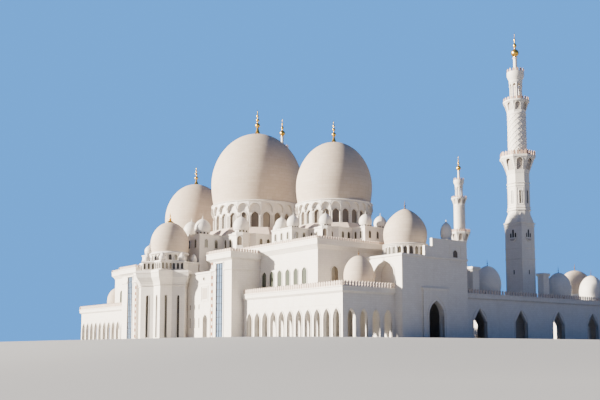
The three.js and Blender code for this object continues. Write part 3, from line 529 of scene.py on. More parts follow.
cornerDome = {"x": 74.6, "y": -18.05, "radius": 4.18, "foot": 15.2, "footRadius": 3.9, "widest": 17.0,
              "apex": 22.6, "tip": 24.4, "shell": 0.5}
farDome = {"x": 0.0, "y": 192.7, "radius": 8.0, "foot": 24.5, "footRadius": 7.4, "widest": 28.0,
           "apex": 36.5, "tip": 40.0, "shell": 0.7}
smallDome = {"x": 0.0, "y": 0.0, "radius": 4.17, "foot": 15.2, "footRadius": 3.87, "widest": 17.2,
             "apex": 23.02, "tip": 25.2, "rim": 13.1}


def domeProfile(dome, inset=0.0, steps=28):
    radius, foot, apex = dome["radius"] - inset, dome["footRadius"] - inset, dome["apex"] - inset
    profile = []
    for i in range(8):
        part = i / 8
        profile.append((foot + (radius - foot) * math.sin(part * math.pi / 2),
                        dome["foot"] + (dome["widest"] - dome["foot"]) * part))
    for i in range(steps):
        angle = i / steps * math.pi / 2
        profile.append((radius * math.cos(angle) ** dome.get("pointed", 1.0),
                        dome["widest"] + (apex - dome["widest"]) * math.sin(angle) ** 1.04))
    return profile + [(0.0, apex)]


def wrapAround(piece, centre, dome):
    # a UV map in model metres round the dome's axis and up its curve
    layer = piece.data.uv_layers.new(name="wrap")
    cx, cy = centre[0] * modelScale, centre[1] * modelScale
    cz, radius = dome["widest"] * modelScale, dome["radius"] * modelScale
    for polygon in piece.data.polygons:
        spots = []
        for corner in polygon.loop_indices:
            x, y, z = piece.data.vertices[piece.data.loops[corner].vertex_index].co
            flat = math.hypot(x - cx, y - cy)
            spots.append((math.atan2(y - cy, x - cx) if flat > 1e-5 else None, math.atan2(z - cz, max(1e-4, flat))))
        known = [angle for angle, _ in spots if angle is not None]
        crosses = bool(known) and max(known) - min(known) > math.pi
        known = [angle + 2 * math.pi if crosses and angle < 0 else angle for angle in known]
        for corner, (angle, rise) in zip(polygon.loop_indices, spots):
            if angle is None:
                angle = sum(known) / len(known) if known else 0.0
            elif crosses and angle < 0:
                angle += 2 * math.pi
            layer.data[corner].uv = (angle * radius, rise * radius)


def addDome(name, dome, sides, replaced):
    profile = domeProfile(dome, dome["shell"], 12)[::-1] + domeProfile(dome)
    twins = (("", "_right", 1), ("Left", "_left", -1)) if dome["x"] else (("", "", 1),)
    for label, side, sign in twins:
        shape, centre = newShape(), (sign * dome["x"], dome["y"])
        turned(shape, profile, sides, centre)
        wrapAround(makePiece(name + label, shape, [domeMarble], [replaced + side]), centre, dome)


addDome("mainDomeShell", mainDome, 96, "main_dome")
addDome("flankDomeShell", flankDome, 80, "flank_dome")
addDome("bayDomeShell", bayDome, 64, "bay_dome")
addDome("gateDomeShell", gateDome, 64, "side_gate_dome")
addDome("cornerDomeShell", cornerDome, 48, "corner_dome")
addDome("farDomeShell", farDome, 64, "far_gate_dome")

# lotus cup, three balls of falling size and a needle, as shares of the finial's height
finialOutline = [(0.2, -0.012), (0.18, 0.012), (0.12, 0.04), (0.085, 0.1), (0.058, 0.18), (0.045, 0.24),
                 (0.03, 0.27), (0.06, 0.3), (0.084, 0.34), (0.092, 0.375), (0.084, 0.41), (0.056, 0.445),
                 (0.026, 0.47), (0.025, 0.52), (0.05, 0.545), (0.064, 0.58), (0.05, 0.615), (0.025, 0.64),
                 (0.022, 0.69), (0.038, 0.71), (0.045, 0.735), (0.034, 0.76), (0.02, 0.785), (0.015, 0.9)]


def addFinial(shape, dome, slim=1.0, sides=20, signs=(1,)):
    low, high = dome["apex"] - 0.15, dome["tip"]
    tall = high - low
    profile = [(radius * tall * slim, low + part * tall) for radius, part in finialOutline]
    for sign in signs:
        turned(shape, [(0.0, low)] + profile + [(0.0, high)], sides, (sign * dome["x"], dome["y"]))


finials = newShape()
addFinial(finials, flankDome, signs=(1, -1))
makePiece("flankFinials", finials, [gold], ["flank_dome_finial_right", "flank_dome_finial_left"], 50)
finials = newShape()
addFinial(finials, mainDome)
makePiece("mainFinial", finials, [gold], ["main_dome_finial"], 50)
finials = newShape()
addFinial(finials, bayDome, 1.5)
turned(finials, [(0, 38.8), (1.3, 38.85), (1.3, 39.2), (0.95, 39.5), (0.5, 39.75), (0.3, 40.1), (0, 40.2)],
       24, (0, bayDome["y"]))
makePiece("bayFinial", finials, [gold], ["bay_dome_finial"], 50)
finials = newShape()
for dome in (gateDome, cornerDome):
    addFinial(finials, dome, 1.1, 14, (1, -1))
addFinial(finials, farDome, 1.0, 14)
makePiece("lesserFinials", finials, [bronze], (), 50)
report("domes and finials")


# Drums: one facet of 24 is built and stood round the ring

facetAngle = math.pi / 24


def drumFacet(dome):
    radius, foot, top, width = (dome[key] for key in ("drumRadius", "drumFoot", "windowTop", "windowWidth"))
    reach, half, sill = radius * math.cos(facetAngle), radius * math.sin(facetAngle), foot + 0.25
    place = onWall(0, -reach, 0, 0)
    spring = top - width * 0.6
    stone, glass = newShape(), newShape()
    arch = (0, width, sill, spring, top)
    plate(stone, place, rectangle(-half, half, foot, dome["foot"] - 0.5), -1.2, 0, [archCurve(*arch)])
    archBand(stone, place, arch, 0.16, -0.1, 0.14)
    archBand(stone, place, (0, width + 0.55, sill, spring, top + 0.3), 0.12, -0.1, 0.07)
    plate(stone, place, rectangle(-half, half, foot, foot + 0.22), -0.1, 0.2)
    for side in (-1, 1):
        # paired slender columns at the facet's edge
        turnedColumn(stone, place(side * (half - 0.24), 0, 0.12), foot + 0.2, spring + 0.2, 0.15)
    archPane(glass, place, arch, -0.55, -0.48)
    # the scalloped collar: its lower edge arches over each window and throws a shadow on the wall behind
    collar, browFoot = dome["footRadius"] + 0.7, dome["browFoot"]
    out, side = collar * math.cos(facetAngle) - reach, collar * math.sin(facetAngle)
    brow = (0, side * 1.72, browFoot, browFoot + 0.1, dome["browTop"])
    plate(stone, place, archCurve(*brow, 8, False) + [(-side, browFoot), (-side, dome["foot"] - 0.3),
                                                     (side, dome["foot"] - 0.3), (side, browFoot)], -0.3, out)
    archBand(stone, place, brow, 0.16, out - 0.2, out + 0.12, pointed=False)
    for hand in (-1, 1):
        corbel = [(hand * side, browFoot), (hand * side * 0.86, browFoot), (hand * side * 0.95, browFoot - 0.9),
                  (hand * side, browFoot - 0.9)]
        plate(stone, place, corbel[::-hand], -0.1, out * 0.8)
    return stone, glass


def dressDrum(name, dome, replaced):
    spots = [(x, dome["y"], 0, (i + 0.5) * 15, 1.0) for x in bothX(dome["x"]) for i in range(24)]
    standPair((name, name + "Glass"), drumFacet(dome), spots, smokeGlass, replaced)
    rings = newShape()
    foot, footRadius, low, wall = (dome[key] for key in ("foot", "footRadius", "drumFoot", "drumRadius"))
    collar, inner = footRadius + 0.7, wall - 1.2
    for x in bothX(dome["x"]):
        turned(rings, [(inner, foot - 0.45), (collar + 0.04, foot - 0.45), (collar + 0.16, foot - 0.3),
                       (collar + 0.04, foot - 0.1), (footRadius + 0.2, foot + 0.06),
                       (footRadius - 0.4, foot + 0.1), (inner, foot - 0.05)], 96, (x, dome["y"]), ring=True)
        turned(rings, [(wall - 0.4, low - 0.3), (wall + 0.5, low - 0.3), (wall + 0.5, low),
                       (wall + 0.3, low + 0.1), (wall - 0.4, low + 0.1)], 96, (x, dome["y"]), ring=True)
    makePiece(name + "Rings", rings, [whiteMarble])


dressDrum("mainDrum", mainDome, ["main_dome_drum"])
dressDrum("flankDrum", flankDome, ["flank_dome_drum_right", "flank_dome_drum_left"])
report("drums")


# The cross-shaped blocks under the drums

mainBase = {"centres": (0.0,), "half": 18.5, "chamfer": 5.2, "armHalf": 6.5, "armReach": 27.6, "sideReach": 24.9,
            "top": 35.4, "turret": 16.3, "pair": 3.7, "pairReach": 24.8, "cupola": 2.7, "foot": 27.05,
            "windows": {"foot": 30.9, "top": 33.9, "width": 1.25}, "eye": {"foot": 31.2, "top": 34.3, "width": 2.6}}
flankBase = {"centres": (-flankX, flankX), "half": 14.2, "chamfer": 3.9, "armHalf": 5.0, "armReach": 20.7,
             "sideReach": 19.9, "top": 33.4, "turret": 12.4, "pair": 3.0, "pairReach": 18.6, "cupola": 1.95,
             "foot": 27.05, "innerEnd": 24.95,
             "windows": {"foot": 29.9, "top": 32.2, "width": 1.0}, "eye": {"foot": 30.2, "top": 32.7, "width": 2.2}}
quadrants = [(-1, -1), (-1, 1), (1, -1), (1, 1)]
diagonals = ((1, -1, 45), (1, 1, 135), (-1, 1, 225), (-1, -1, 315))


def baseBlock(base, x, dome):
    shape = newShape()
    half, cut, arm, top = base["half"], base["half"] - base["chamfer"], base["armHalf"], base["top"]
    plan = [(x - cut, -half), (x + cut, -half), (x + half, -cut), (x + half, cut),
            (x + cut, half), (x - cut, half), (x - half, cut), (x - half, -cut)]
    long = rectangle(x - arm, x + arm, -base["armReach"], base["armReach"])
    wide = rectangle(max(x - base["sideReach"], base.get("innerEnd", -99)), x + base["sideReach"], -arm, arm)
    for outline in (plan, long, wide):
        upright(shape, outline, base["foot"], top)
        moulding(shape, outline, [(-0.15, top - 0.45), (0.14, top - 0.3), (0.22, top - 0.1), (0.22, top + 0.06),
                                  (-0.15, top + 0.06)])
    corner = 1 / math.cos(math.pi / 8)
    # the skirt roof in the pink marble, with its painted shade
    turned(shape, [(0, top - 0.1), ((half - 0.4) * corner, top - 0.1), ((half - 0.4) * corner, top + 0.3),
                   ((dome["drumRadius"] + 0.6) * corner, dome["drumFoot"]), (0, dome["drumFoot"])],
           8, (x, 0), finish=1, turn=22.5)
    return shape


makePiece("mainBase", baseBlock(mainBase, 0.0, mainDome), [whiteMarble, pinkMarble], ["main_dome_base"])
makePiece("flankBases", baseBlock(flankBase, flankX, flankDome), [whiteMarble, pinkMarble],
          ["flank_dome_base_right", "flank_dome_base_left"], mirrored=True)

# cupolas in unit size: radius 1 at the belly, ring of small windows below
cupola, cupolaWindows, pedestal = newShape(), newShape(), newShape()
turned(cupola, [(0, 0), (0.94, 0), (0.94, 0.05), (0.86, 0.08), (0.86, 0.36), (0.95, 0.4), (0.97, 0.46), (0.92, 0.49),
                (0.97, 0.62), (1.0, 0.82), (0.995, 1.0), (0.96, 1.2), (0.89, 1.39), (0.79, 1.57), (0.66, 1.73),
                (0.5, 1.87), (0.33, 1.98), (0.17, 2.06), (0.07, 2.13), (0.04, 2.2), (0.075, 2.25), (0.03, 2.3),
                (0.025, 2.5), (0, 2.55)], 28)
for i in range(12):
    archPane(cupolaWindows, onWall(0, 0, 0, i * 30 + 15), (0, 0.24, 0.09, 0.26, 0.34), 0.8, 0.88, 3)
turned(pedestal, [(0, -0.3), (1.12, -0.3), (1.12, 0.0), (1.0, 0.04), (0, 0.04)], 8, turn=22.5)

cupolaSpots = []
piers, pierLights, pierFrames = newShape(), newShape(), newShape()
for base in (mainBase, flankBase):
    near, far, top, eye = base["turret"] - 0.8, base["turret"] + 0.8, base["top"], base["eye"]
    reach, width = base["cupola"] * 0.98, base["cupola"] * 0.6
    light = (0, width, eye["foot"], eye["top"] - width * 0.6, eye["top"])
    for cx in base["centres"]:
        for sx, sy in quadrants:
            for dx, dy in ((near, far), (base["pair"], base["pairReach"])):
                cupolaSpots.append((cx + sx * dx, sy * dy, top - 0.1, 0, base["cupola"]))
        for sx, sy, degrees in diagonals:
            spot = (cx + sx * near, sy * far)
            turned(piers, [(0, base["foot"]), (reach * 1.06, base["foot"]), (reach * 1.06, top - 0.35),
                           (reach * 1.14, top - 0.2), (reach * 1.14, top + 0.05), (0, top + 0.05)],
                   8, spot, turn=22.5)
            archLight(pierFrames, pierLights, onWall(*spot, 0, degrees), light, reach * 0.9, reach * 0.98 + 0.05,
                      0.18, reach * 0.98 + 0.18, 5)
cupolaSpots += [(sx * (flankX + 18), sy * flankBase["pair"], flankBase["top"] - 0.1, 0, flankBase["cupola"])
                for sx, sy in quadrants]
standPair(("cupolas", "cupolaWindows"), (cupola, cupolaWindows), cupolaSpots)
makePiece("turretPiers", piers, [whiteMarble])
makePiece("turretPierFrames", pierFrames, [whiteMarble])
makePiece("turretPierLights", pierLights, [smokeGlass])
standPieces("cupolaPedestals", pedestal, cupolaSpots)


def wallRow(x, y, degrees, z, offsets):
    place = onWall(x, y, z, degrees)
    return [(*place(u, 0, 0), degrees, 1.0) for u in offsets]


def baseWindows(base, x):
    # spots of the small windows on the cross and of the large ones on its chamfers
    spots, foot = [], base["windows"]["foot"]
    half, arm = base["half"], base["armHalf"]
    step = (half - base["chamfer"] - arm) / 3
    inner = [arm + step * 0.8, arm + step * 2.1]
    for degrees in (0, 90, 180, 270):
        reach = base["armReach"] if degrees in (0, 180) else base["sideReach"]
        place = onWall(x, 0, 0, degrees)
        spots += wallRow(*place(0, 0, half)[:2], degrees, foot, [-inner[1], -inner[0], *inner])
        spots += wallRow(*place(0, 0, reach)[:2], degrees, foot, [-arm * 0.62, 0, arm * 0.62])
        for side in (-1, 1):
            for part in (0.3, 0.72):
                spots.append((*place(side * arm, foot, half + (reach - half) * part), degrees + 90 * side, 1.0))
    middle = half - base["chamfer"] / 2
    return spots, [(x + sx * middle, sy * middle, base["eye"]["foot"], degrees, 1.0) for sx, sy, degrees in diagonals]


for name, base in (("main", mainBase), ("flank", flankBase)):
    groups = zip(*[baseWindows(base, x) for x in base["centres"]])
    for label, group, size in zip(("Small", "Large"), groups, (base["windows"], base["eye"])):
        standPair((f"{name}Base{label}Frames", f"{name}Base{label}Panes"),
                  windowShapes(size["width"], size["top"] - size["foot"]), sum(group, []))
report("bases and cupolas")


# Merlons along every roof edge: width, height, top of the wall and pitch

hall = {"halfWidth": 64.3, "halfDepth": 24.1, "top": 27.7, "sill": 14.0}
edgeX, edgeY = hall["halfWidth"] + 0.75, hall["halfDepth"] + 0.75
hallEdge = [(7.0, -edgeY), (edgeX, -edgeY), (edgeX, edgeY), (7.0, edgeY)]
rowPieces("hallMerlons", 0.74, 1.1, bothRuns(edgeRuns(hallEdge, hall["top"])), 0.9)
rowPieces("arcadeMerlons", 0.8, 1.6, bothRuns(edgeRuns([(37.8, -30.65), (82.35, -30.65), (82.35, -12.3)], 13.3)), 1.0)
courtEdges = ([(82.35, 14.2), (82.35, 199.75), (12.8, 199.75)], [(68.2, 43.0), (68.2, 185.6)],
              [(12.4, 185.6), (68.2, 185.6)])
courtRuns = bothRuns([run for edge in courtEdges for run in edgeRuns(edge, 13.3)])
rowPieces("courtMerlons", 0.7, 1.5, courtRuns + edgeRuns([(-67.6, 42.2), (67.6, 42.2)], 13.3), 1.25)
report("merlons")


# The prayer hall's windows and mouldings

frontWindow = {"first": 38.7, "pitch": 3.93, "count": 6, "width": 2.2, "height": 6.4, "bars": 3, "rows": 6}
sideWindow = {"width": 2.6, "height": 6.6, "spots": (-18.0, 18.0), "bars": 3, "rows": 6}


def latticeWindow(look, band):
    # frame, lattice bars and glass for one arched window that stands at its sill
    stone, glass = newShape(), newShape()
    place = onWall(0, 0, 0, 0)
    width, height = look["width"], look["height"]
    arch = (0, width, 0, height - width * 0.55, height)
    archBand(stone, place, arch, band, -0.25, 0.14)
    for i in range(1, look["bars"]):
        u = -width / 2 + width * i / look["bars"]
        plate(glass, place, rectangle(u - 0.04, u + 0.04, 0, height * 0.93), -0.09, -0.03)
    for i in range(1, look["rows"]):
        v = height * 0.9 * i / look["rows"]
        plate(glass, place, rectangle(-width / 2, width / 2, v - 0.04, v + 0.04), -0.09, -0.03)
    side = width / 2 + band * 1.3
    plate(stone, place, rectangle(-side, side, -0.3, 0), -0.4, 0.3)
    archPane(glass, place, arch, -0.16, -0.08)
    return stone, glass


standPair(("hallFrontFrames", "hallFrontGlass"), latticeWindow(frontWindow, 0.2), bothSides(
    [(frontWindow["first"] + i * frontWindow["pitch"], -hall["halfDepth"], hall["sill"], 0, 1.0)
     for i in range(frontWindow["count"])]), oliveGlass)
standPair(("hallSideFrames", "hallSideGlass"), latticeWindow(sideWindow, 0.24), bothSides(
    [(hall["halfWidth"], y, hall["sill"], 90, 1.0) for y in sideWindow["spots"]]), paintedShadeGlass)
trim = newShape()
hallPlan = rectangle(-hall["halfWidth"], hall["halfWidth"], -hall["halfDepth"], hall["halfDepth"])
moulding(trim, hallPlan, [(-0.2, 25.1), (0.12, 25.1), (0.3, 25.5), (0.62, 25.9), (0.88, 26.32), (-0.2, 26.32)])
moulding(trim, hallPlan, [(0.9, 27.5), (1.12, 27.62), (1.12, 27.95), (0.5, 27.95), (0.5, 27.6)])
makePiece("hallMouldings", trim, [whiteMarble])
report("hall")


# The prayer bay: an eight-pointed star

bay = {"y": bayDome["y"], "half": 7.25, "ringHalf": 6.9, "domelet": 1.12, "domeletReach": 8.2, "drum": 5.8}


def starPlan(half):
    plan = []
    for k in range(16):
        radius = half * math.sqrt(2) if k % 2 == 0 else half / math.cos(math.pi / 8)
        angle = math.pi * k / 8
        plan.append((radius * math.sin(angle), bay["y"] - radius * math.cos(angle)))
    return plan


def starFaces(half, z, shares):
    # spots on each exposed half of the star's faces
    spots = []
    for degrees in (-90, -45, 0, 45, 90):
        place = onWall(0, bay["y"], z, degrees)
        for share in shares:
            for side in (-1, 1):
                if abs(degrees) != 90 or side * degrees < 0:
                    spots.append((*place(side * share * half, 0, half), degrees, 1.0))
    return spots


bayTrim = newShape()
frontStar = sorted([point for point in starPlan(bay["half"]) if point[1] < -24.3],
                   key=lambda p: math.atan2(p[0], bay["y"] - p[1] + 0.001))
for low in (17.55, 18.35):
    moulding(bayTrim, frontStar, [(-0.2, low), (0.2, low), (0.34, low + 0.14), (0.2, low + 0.3), (-0.2, low + 0.3)],
             closed=False)
moulding(bayTrim, frontStar, [(1.0, 21.5), (1.42, 21.5), (1.5, 21.75), (1.42, 22.0), (1.42, 22.45), (1.0, 22.45)],
         closed=False)
ringStar = starPlan(bay["ringHalf"])
moulding(bayTrim, ringStar, [(-0.2, 25.0), (0.1, 25.0), (0.34, 25.2), (0.34, 25.5), (0.25, 25.68), (-0.4, 25.68)])
moulding(bayTrim, ringStar, [(-0.2, 22.45), (0.16, 22.45), (0.16, 22.8), (-0.2, 22.95)])
for profile in ([(5.2, 28.1), (6.1, 28.1), (6.34, 28.3), (6.34, 28.6), (6.1, 28.8), (5.95, 29.0), (5.2, 29.0)],
                [(5.2, 25.55), (6.2, 25.55), (6.2, 25.9), (5.95, 26.0), (5.2, 26.0)]):
    turned(bayTrim, profile, 64, (0, bay["y"]), ring=True)
makePiece("bayTrim", bayTrim, [whiteMarble])
slotFrame, slotGlass = newShape(), newShape()
place = onWall(0, 0, 0, 0)
archBand(slotFrame, place, (0, 0.9, 0, 13.0, 13.6), 0.14, -0.2, 0.1, 4)
archPane(slotGlass, place, (0, 0.94, 0, 13.0, 13.6), -0.6, -0.5, 4)
standPair(("baySlotFrames", "baySlotGlass"), (slotFrame, slotGlass), starFaces(bay["half"], 1.0, [math.sqrt(0.5)]))
standPair(("bayRingFrames", "bayRingPanes"), windowShapes(0.84, 2.05, 0.1, 0.05),
          starFaces(bay["ringHalf"], 22.95, [0.5, 0.7, 0.9]))
drumSpots = []
for i in range(20):
    degrees = (i + 0.5) * 18
    drumSpots.append((*onWall(0, bay["y"], 26.1, degrees)(0, 0, bay["drum"] * math.cos(math.pi / 20)), degrees, 1.0))
standPair(("bayDrumFrames", "bayDrumPanes"), windowShapes(1.0, 1.9, 0.12, 0.05), drumSpots)
domeletSpots = [(*onWall(0, bay["y"], 25.5, degrees)(0, 0, bay["domeletReach"]), 0, bay["domelet"])
                for degrees in range(-135, 136, 45)]
standPair(("bayDomelets", "bayDomeletWindows"), (cupola, cupolaWindows), domeletSpots)
report("bay")


# Link walls and pylons

link = {"front": -32.8, "inner": 8.75, "outer": 24.8, "door": (19.2, 2.6, 0.0, 6.5, 8.1), "eye": (18.2, 19.3),
        "doorFrame": (16.6, 22.05, 0.0, 9.8), "doorHole": (19.2, 3.1, 0.01, 6.5, 8.4),
        "panel": (16.6, 20.8, 12.2, 17.1), "panelHole": (16.9, 20.5, 12.5, 16.8),
        "panelStone": (17.3, 20.1, 12.9, 16.4), "slotsAt": (10.1, 12.8, 15.4),
        "slotHeights": ((9.8, 11.4), (4.0, 7.2)), "slotWidth": 0.42}
pylon = {"inner": 24.9, "outer": 36.5, "front": -34.4, "back": -24.4, "step": (32.4, 36.4, 20.85, 21.1),
         "glass": (27.9, 32.1), "mullions": (29.3, 30.7),
         "jambs": ((27.54, 27.94, 0.0, 23.4), (31.9, 32.3, 0.0, 23.4), (27.5, 32.3, 23.2, 23.45)),
         "barPitch": 2.08, "bars": 10, "inlay": (25.1, 26.1), "medallion": (25.6, 1.9),
         "medallionPitch": 2.15, "medallions": 11}
wallTrim, wallGlass, inlay = newShape(), newShape(), newShape()


def roundOutline(centre, radius, sides, tall=None):
    angles = [2 * math.pi * i / sides for i in range(sides)]
    return [(centre[0] + radius * math.cos(a), centre[1] + (tall or radius) * math.sin(a)) for a in angles]


place = onWall(0, link["front"], 0, 0)
for left, low, high, out in ((link["inner"], 20.9, 21.45, 0.28), (link["inner"], 20.2, 20.4, 0.12),
                             (link["inner"] - 1.0, 17.75, 18.0, 0.14)):
    plate(wallTrim, place, rectangle(left, link["outer"], low, high), -0.2, out)
archBand(wallTrim, place, link["door"], 0.24, -0.1, 0.16)
plate(wallTrim, place, rectangle(*link["doorFrame"]), -0.05, 0.12, [archCurve(*link["doorHole"])])
plate(wallTrim, place, rectangle(*link["panel"]), -0.05, 0.14, [rectangle(*link["panelHole"])])
# the panel's inset stone in painted shade
plate(wallTrim, place, rectangle(*link["panelStone"]), -0.05, 0.05, finish=1)
outer, inner = roundOutline(link["eye"], 0.75, 8), roundOutline(link["eye"], 0.55, 8)
for a, b in [(i, (i + 1) % 8) for i in range(8)]:
    plate(wallTrim, place, [outer[a], outer[b], inner[b], inner[a]], -0.05, 0.1)
plate(wallGlass, place, roundOutline(link["eye"], 0.56, 16), -0.05, 0.03)
for x in link["slotsAt"]:
    for low, high in link["slotHeights"]:
        slot = (x, link["slotWidth"], low, high - 0.25, high)
        archLight(wallTrim, wallGlass, place, slot, -0.05, 0.03, 0.1, 0.08)

place = onWall(0, pylon["front"], 0, 0)
left, right, front, back = (pylon[key] for key in ("inner", "outer", "front", "back"))
pylonPlan = [(left, back), (left, front), (right, front), (right, back)]
moulding(wallTrim, pylonPlan, [(-0.2, 23.75), (0.15, 23.75), (0.3, 24.0), (0.62, 24.2), (0.9, 24.42), (-0.2, 24.42)],
         closed=False)
moulding(wallTrim, pylonPlan, [(0.9, 25.7), (1.14, 25.8), (1.14, 26.15), (0.6, 26.15), (0.6, 25.8)], closed=False)
plate(wallTrim, place, rectangle(*pylon["step"]), -0.2, 0.16)
for jamb in pylon["jambs"]:
    plate(wallTrim, place, rectangle(*jamb), -0.1, 0.16)
left, right = pylon["glass"]
for u in pylon["mullions"]:
    plate(wallGlass, place, rectangle(u - 0.05, u + 0.05, 0.6, 23.2), -0.3, -0.12)
for k in range(pylon["bars"]):
    z = pylon["barPitch"] * (k + 1)
    plate(wallGlass, place, rectangle(left, right, 0.62 + z, 0.7 + z), -0.3, -0.14)
for u in pylon["inlay"]:
    plate(inlay, place, rectangle(u - 0.09, u + 0.09, 0.2, 24.0), -0.05, 0.06)
u, first = pylon["medallion"]
for k in range(pylon["medallions"]):
    plate(inlay, place, roundOutline((u, first + pylon["medallionPitch"] * k), 0.4, 8, 0.6), -0.05, 0.05)
makePiece("wallTrim", wallTrim, [whiteMarble, shadedMarble], mirrored=True)
makePiece("wallGlass", wallGlass, [darkGlass], mirrored=True)
makePiece("pylonInlay", inlay, [inlayStone], mirrored=True)
pylonEdge = [(24.2, -25.4), (24.2, -35.1), (37.2, -35.1), (37.2, -25.4)]
rowPieces("pylonMerlons", 0.74, 1.1, bothRuns(edgeRuns(pylonEdge, 26.1)), 0.9)
report("link walls and pylons")


# Small domes, arcades and piers

smallShape, smallFinial, smallWindow = newShape(), newShape(), newShape()
rim, foot = smallDome["rim"], smallDome["foot"]
turned(smallShape, [(0, rim), (4.3, rim), (4.3, rim + 0.35), (4.0, rim + 0.5), (3.87, rim + 0.6), (3.87, foot - 0.3),
                    (4.06, foot - 0.15), (4.06, foot)] + domeProfile(smallDome, steps=12), 32)
addFinial(smallFinial, smallDome, 0.8, 8)
for i in range(12):
    archPane(smallWindow, onWall(0, 0, 0, 30 * i), (0, 0.5, 13.85, 14.4, 14.65), 3.8, 3.9, 3)
smallSpots = bothSides([(75.0, y, 0, 0, 1.0) for y in [35.0] + [71.7 + 19.1 * i for i in range(6)] + [192.4]]
                       + [(x, 192.4, 0, 0, 1.0) for x in (22.0, 40.1, 57.3)]
                       + [(19.1 * i, 33.2, 0, 0, 1.0) for i in (1, 2, 3)]) + [(0, 33.2, 0, 0, 1.0)]
standPieces("smallDomes", smallShape, smallSpots)
standPieces("smallDomeFinials", smallFinial, smallSpots, bronze)
standPieces("smallDomeWindows", smallWindow, smallSpots, darkGlass)

arcade = {"front": -30.3, "side": 82.0, "narrow": (2.7, 0.0, 5.2, 7.8), "wide": (6.0, 0.0, 5.2, 9.2),
          "frontArches": [40.1 + 3.95 * i for i in range(11)], "sideArches": (-27.4, -23.1, -18.8, -14.5),
          "courtArches": [22.8 + 19.1 * i for i in range(9)], "piers": ((22.3, 25.2), (56.5, 59.4))}
arcadeTrim = newShape()
place, sidePlace = onWall(0, arcade["front"], 0, 0), onWall(arcade["side"], 0, 0, 90)
for x in arcade["frontArches"]:
    archBand(arcadeTrim, place, (x, *arcade["narrow"]), 0.3, -0.2, 0.14)
    plate(arcadeTrim, place, rectangle(x - 1.85, x + 1.85, 8.7, 8.85), -0.1, 0.1)
for y in arcade["sideArches"]:
    archBand(arcadeTrim, sidePlace, (y, *arcade["narrow"]), 0.3, -0.2, 0.14)
for y in arcade["courtArches"]:
    archBand(arcadeTrim, sidePlace, (y, *arcade["wide"]), 0.4, -0.2, 0.16)
for plan in ([(37.4, -30.3), (82.0, -30.3), (82.0, -12.1)], [(82.0, 14.1), (82.0, 199.4), (12.7, 199.4)]):
    moulding(arcadeTrim, plan, [(-0.2, 11.75), (0.2, 11.75), (0.38, 12.0), (0.6, 12.22), (-0.2, 12.22)], closed=False)
    moulding(arcadeTrim, plan, [(0.3, 13.15), (0.72, 13.15), (0.78, 13.3), (0.72, 13.45), (0.3, 13.45)], closed=False)
for low, high in arcade["piers"]:
    moulding(arcadeTrim, rectangle(77.7, 80.0, low, high),
             [(-0.2, 20.7), (0.1, 20.7), (0.3, 21.0), (0.3, 21.72), (-0.3, 21.72)])
makePiece("arcadeTrim", arcadeTrim, [whiteMarble], mirrored=True)
report("arcades and small domes")


# Side entrances

gate = {"inner": 65.5, "outer": 85.0, "porch": 85.5, "front": -12.0, "back": 14.0, "drum": 6.3,
        "screen": (9.0, 1.9, 23.0, 24.2, 25.1), "portal": (0.5, 6.0, 0.0, 6.5, 10.5),
        "niche": (78.35, 7.3, 14.0, 17.7, 21.4)}
gateTrim, gateGlass = newShape(), newShape()
frontPlace, sidePlace = onWall(0, gate["front"], 0, 0), onWall(gate["outer"], 0, 0, 90)
porchPlace = onWall(gate["porch"], 0, 0, 90)
moulding(gateTrim, rectangle(gate["inner"], gate["outer"], gate["front"], gate["back"]),
         [(-0.2, 22.2), (0.12, 22.2), (0.24, 22.4), (0.24, 22.85), (-0.2, 22.85)], closed=False)
moulding(gateTrim, rectangle(78.5, gate["outer"], 5.9, gate["back"]),
         [(-0.2, 27.6), (0.1, 27.6), (0.1, 27.95), (-0.3, 27.95)])
archLight(gateTrim, gateGlass, sidePlace, gate["screen"], -0.1, 0.04, 0.2, 0.18, 8)
plate(gateTrim, sidePlace, rectangle(6.9, 11.6, 21.2, 26.6), -0.1, 0.14, [rectangle(7.15, 11.35, 21.5, 26.3)])
archBand(gateTrim, porchPlace, gate["portal"], 0.45, -0.3, 0.2)
plate(gateTrim, porchPlace, rectangle(-4.5, 5.5, 0.0, 13.9), -0.1, 0.12, [archCurve(0.5, 7.6, 0.02, 6.5, 11.8)])
moulding(gateTrim, [(84.9, -4.5), (85.5, -4.5), (85.5, 5.5), (84.9, 5.5)],
         [(-0.1, 13.2), (0.12, 13.2), (0.3, 13.6), (0.3, 13.95), (-0.1, 13.95)], closed=False)
archBand(gateTrim, frontPlace, gate["niche"], 0.3, -0.2, 0.14)
plate(gateTrim, frontPlace, rectangle(74.0, 82.7, 13.7, 14.0), -0.2, 0.2)
makePiece("gateTrim", gateTrim, [whiteMarble, shadedMarble], mirrored=True)
makePiece("gateGlass", gateGlass, [paintedShadeGlass], mirrored=True)
towerCupola = newShape()
for x in (-81.0, 81.0):
    turned(towerCupola, [(0, 27.85), (1.6, 27.85), (1.6, 28.1), (1.45, 28.2), (1.45, 29.1), (1.58, 29.3), (1.72, 30.2),
                         (1.7, 31.0), (1.55, 31.8), (1.25, 32.5), (0.85, 33.1), (0.4, 33.5), (0.16, 33.75),
                         (0.2, 33.95), (0.06, 34.2), (0, 34.6)], 28, (x, 9.95))
makePiece("gateTowerCupolas", towerCupola, [whiteMarble])

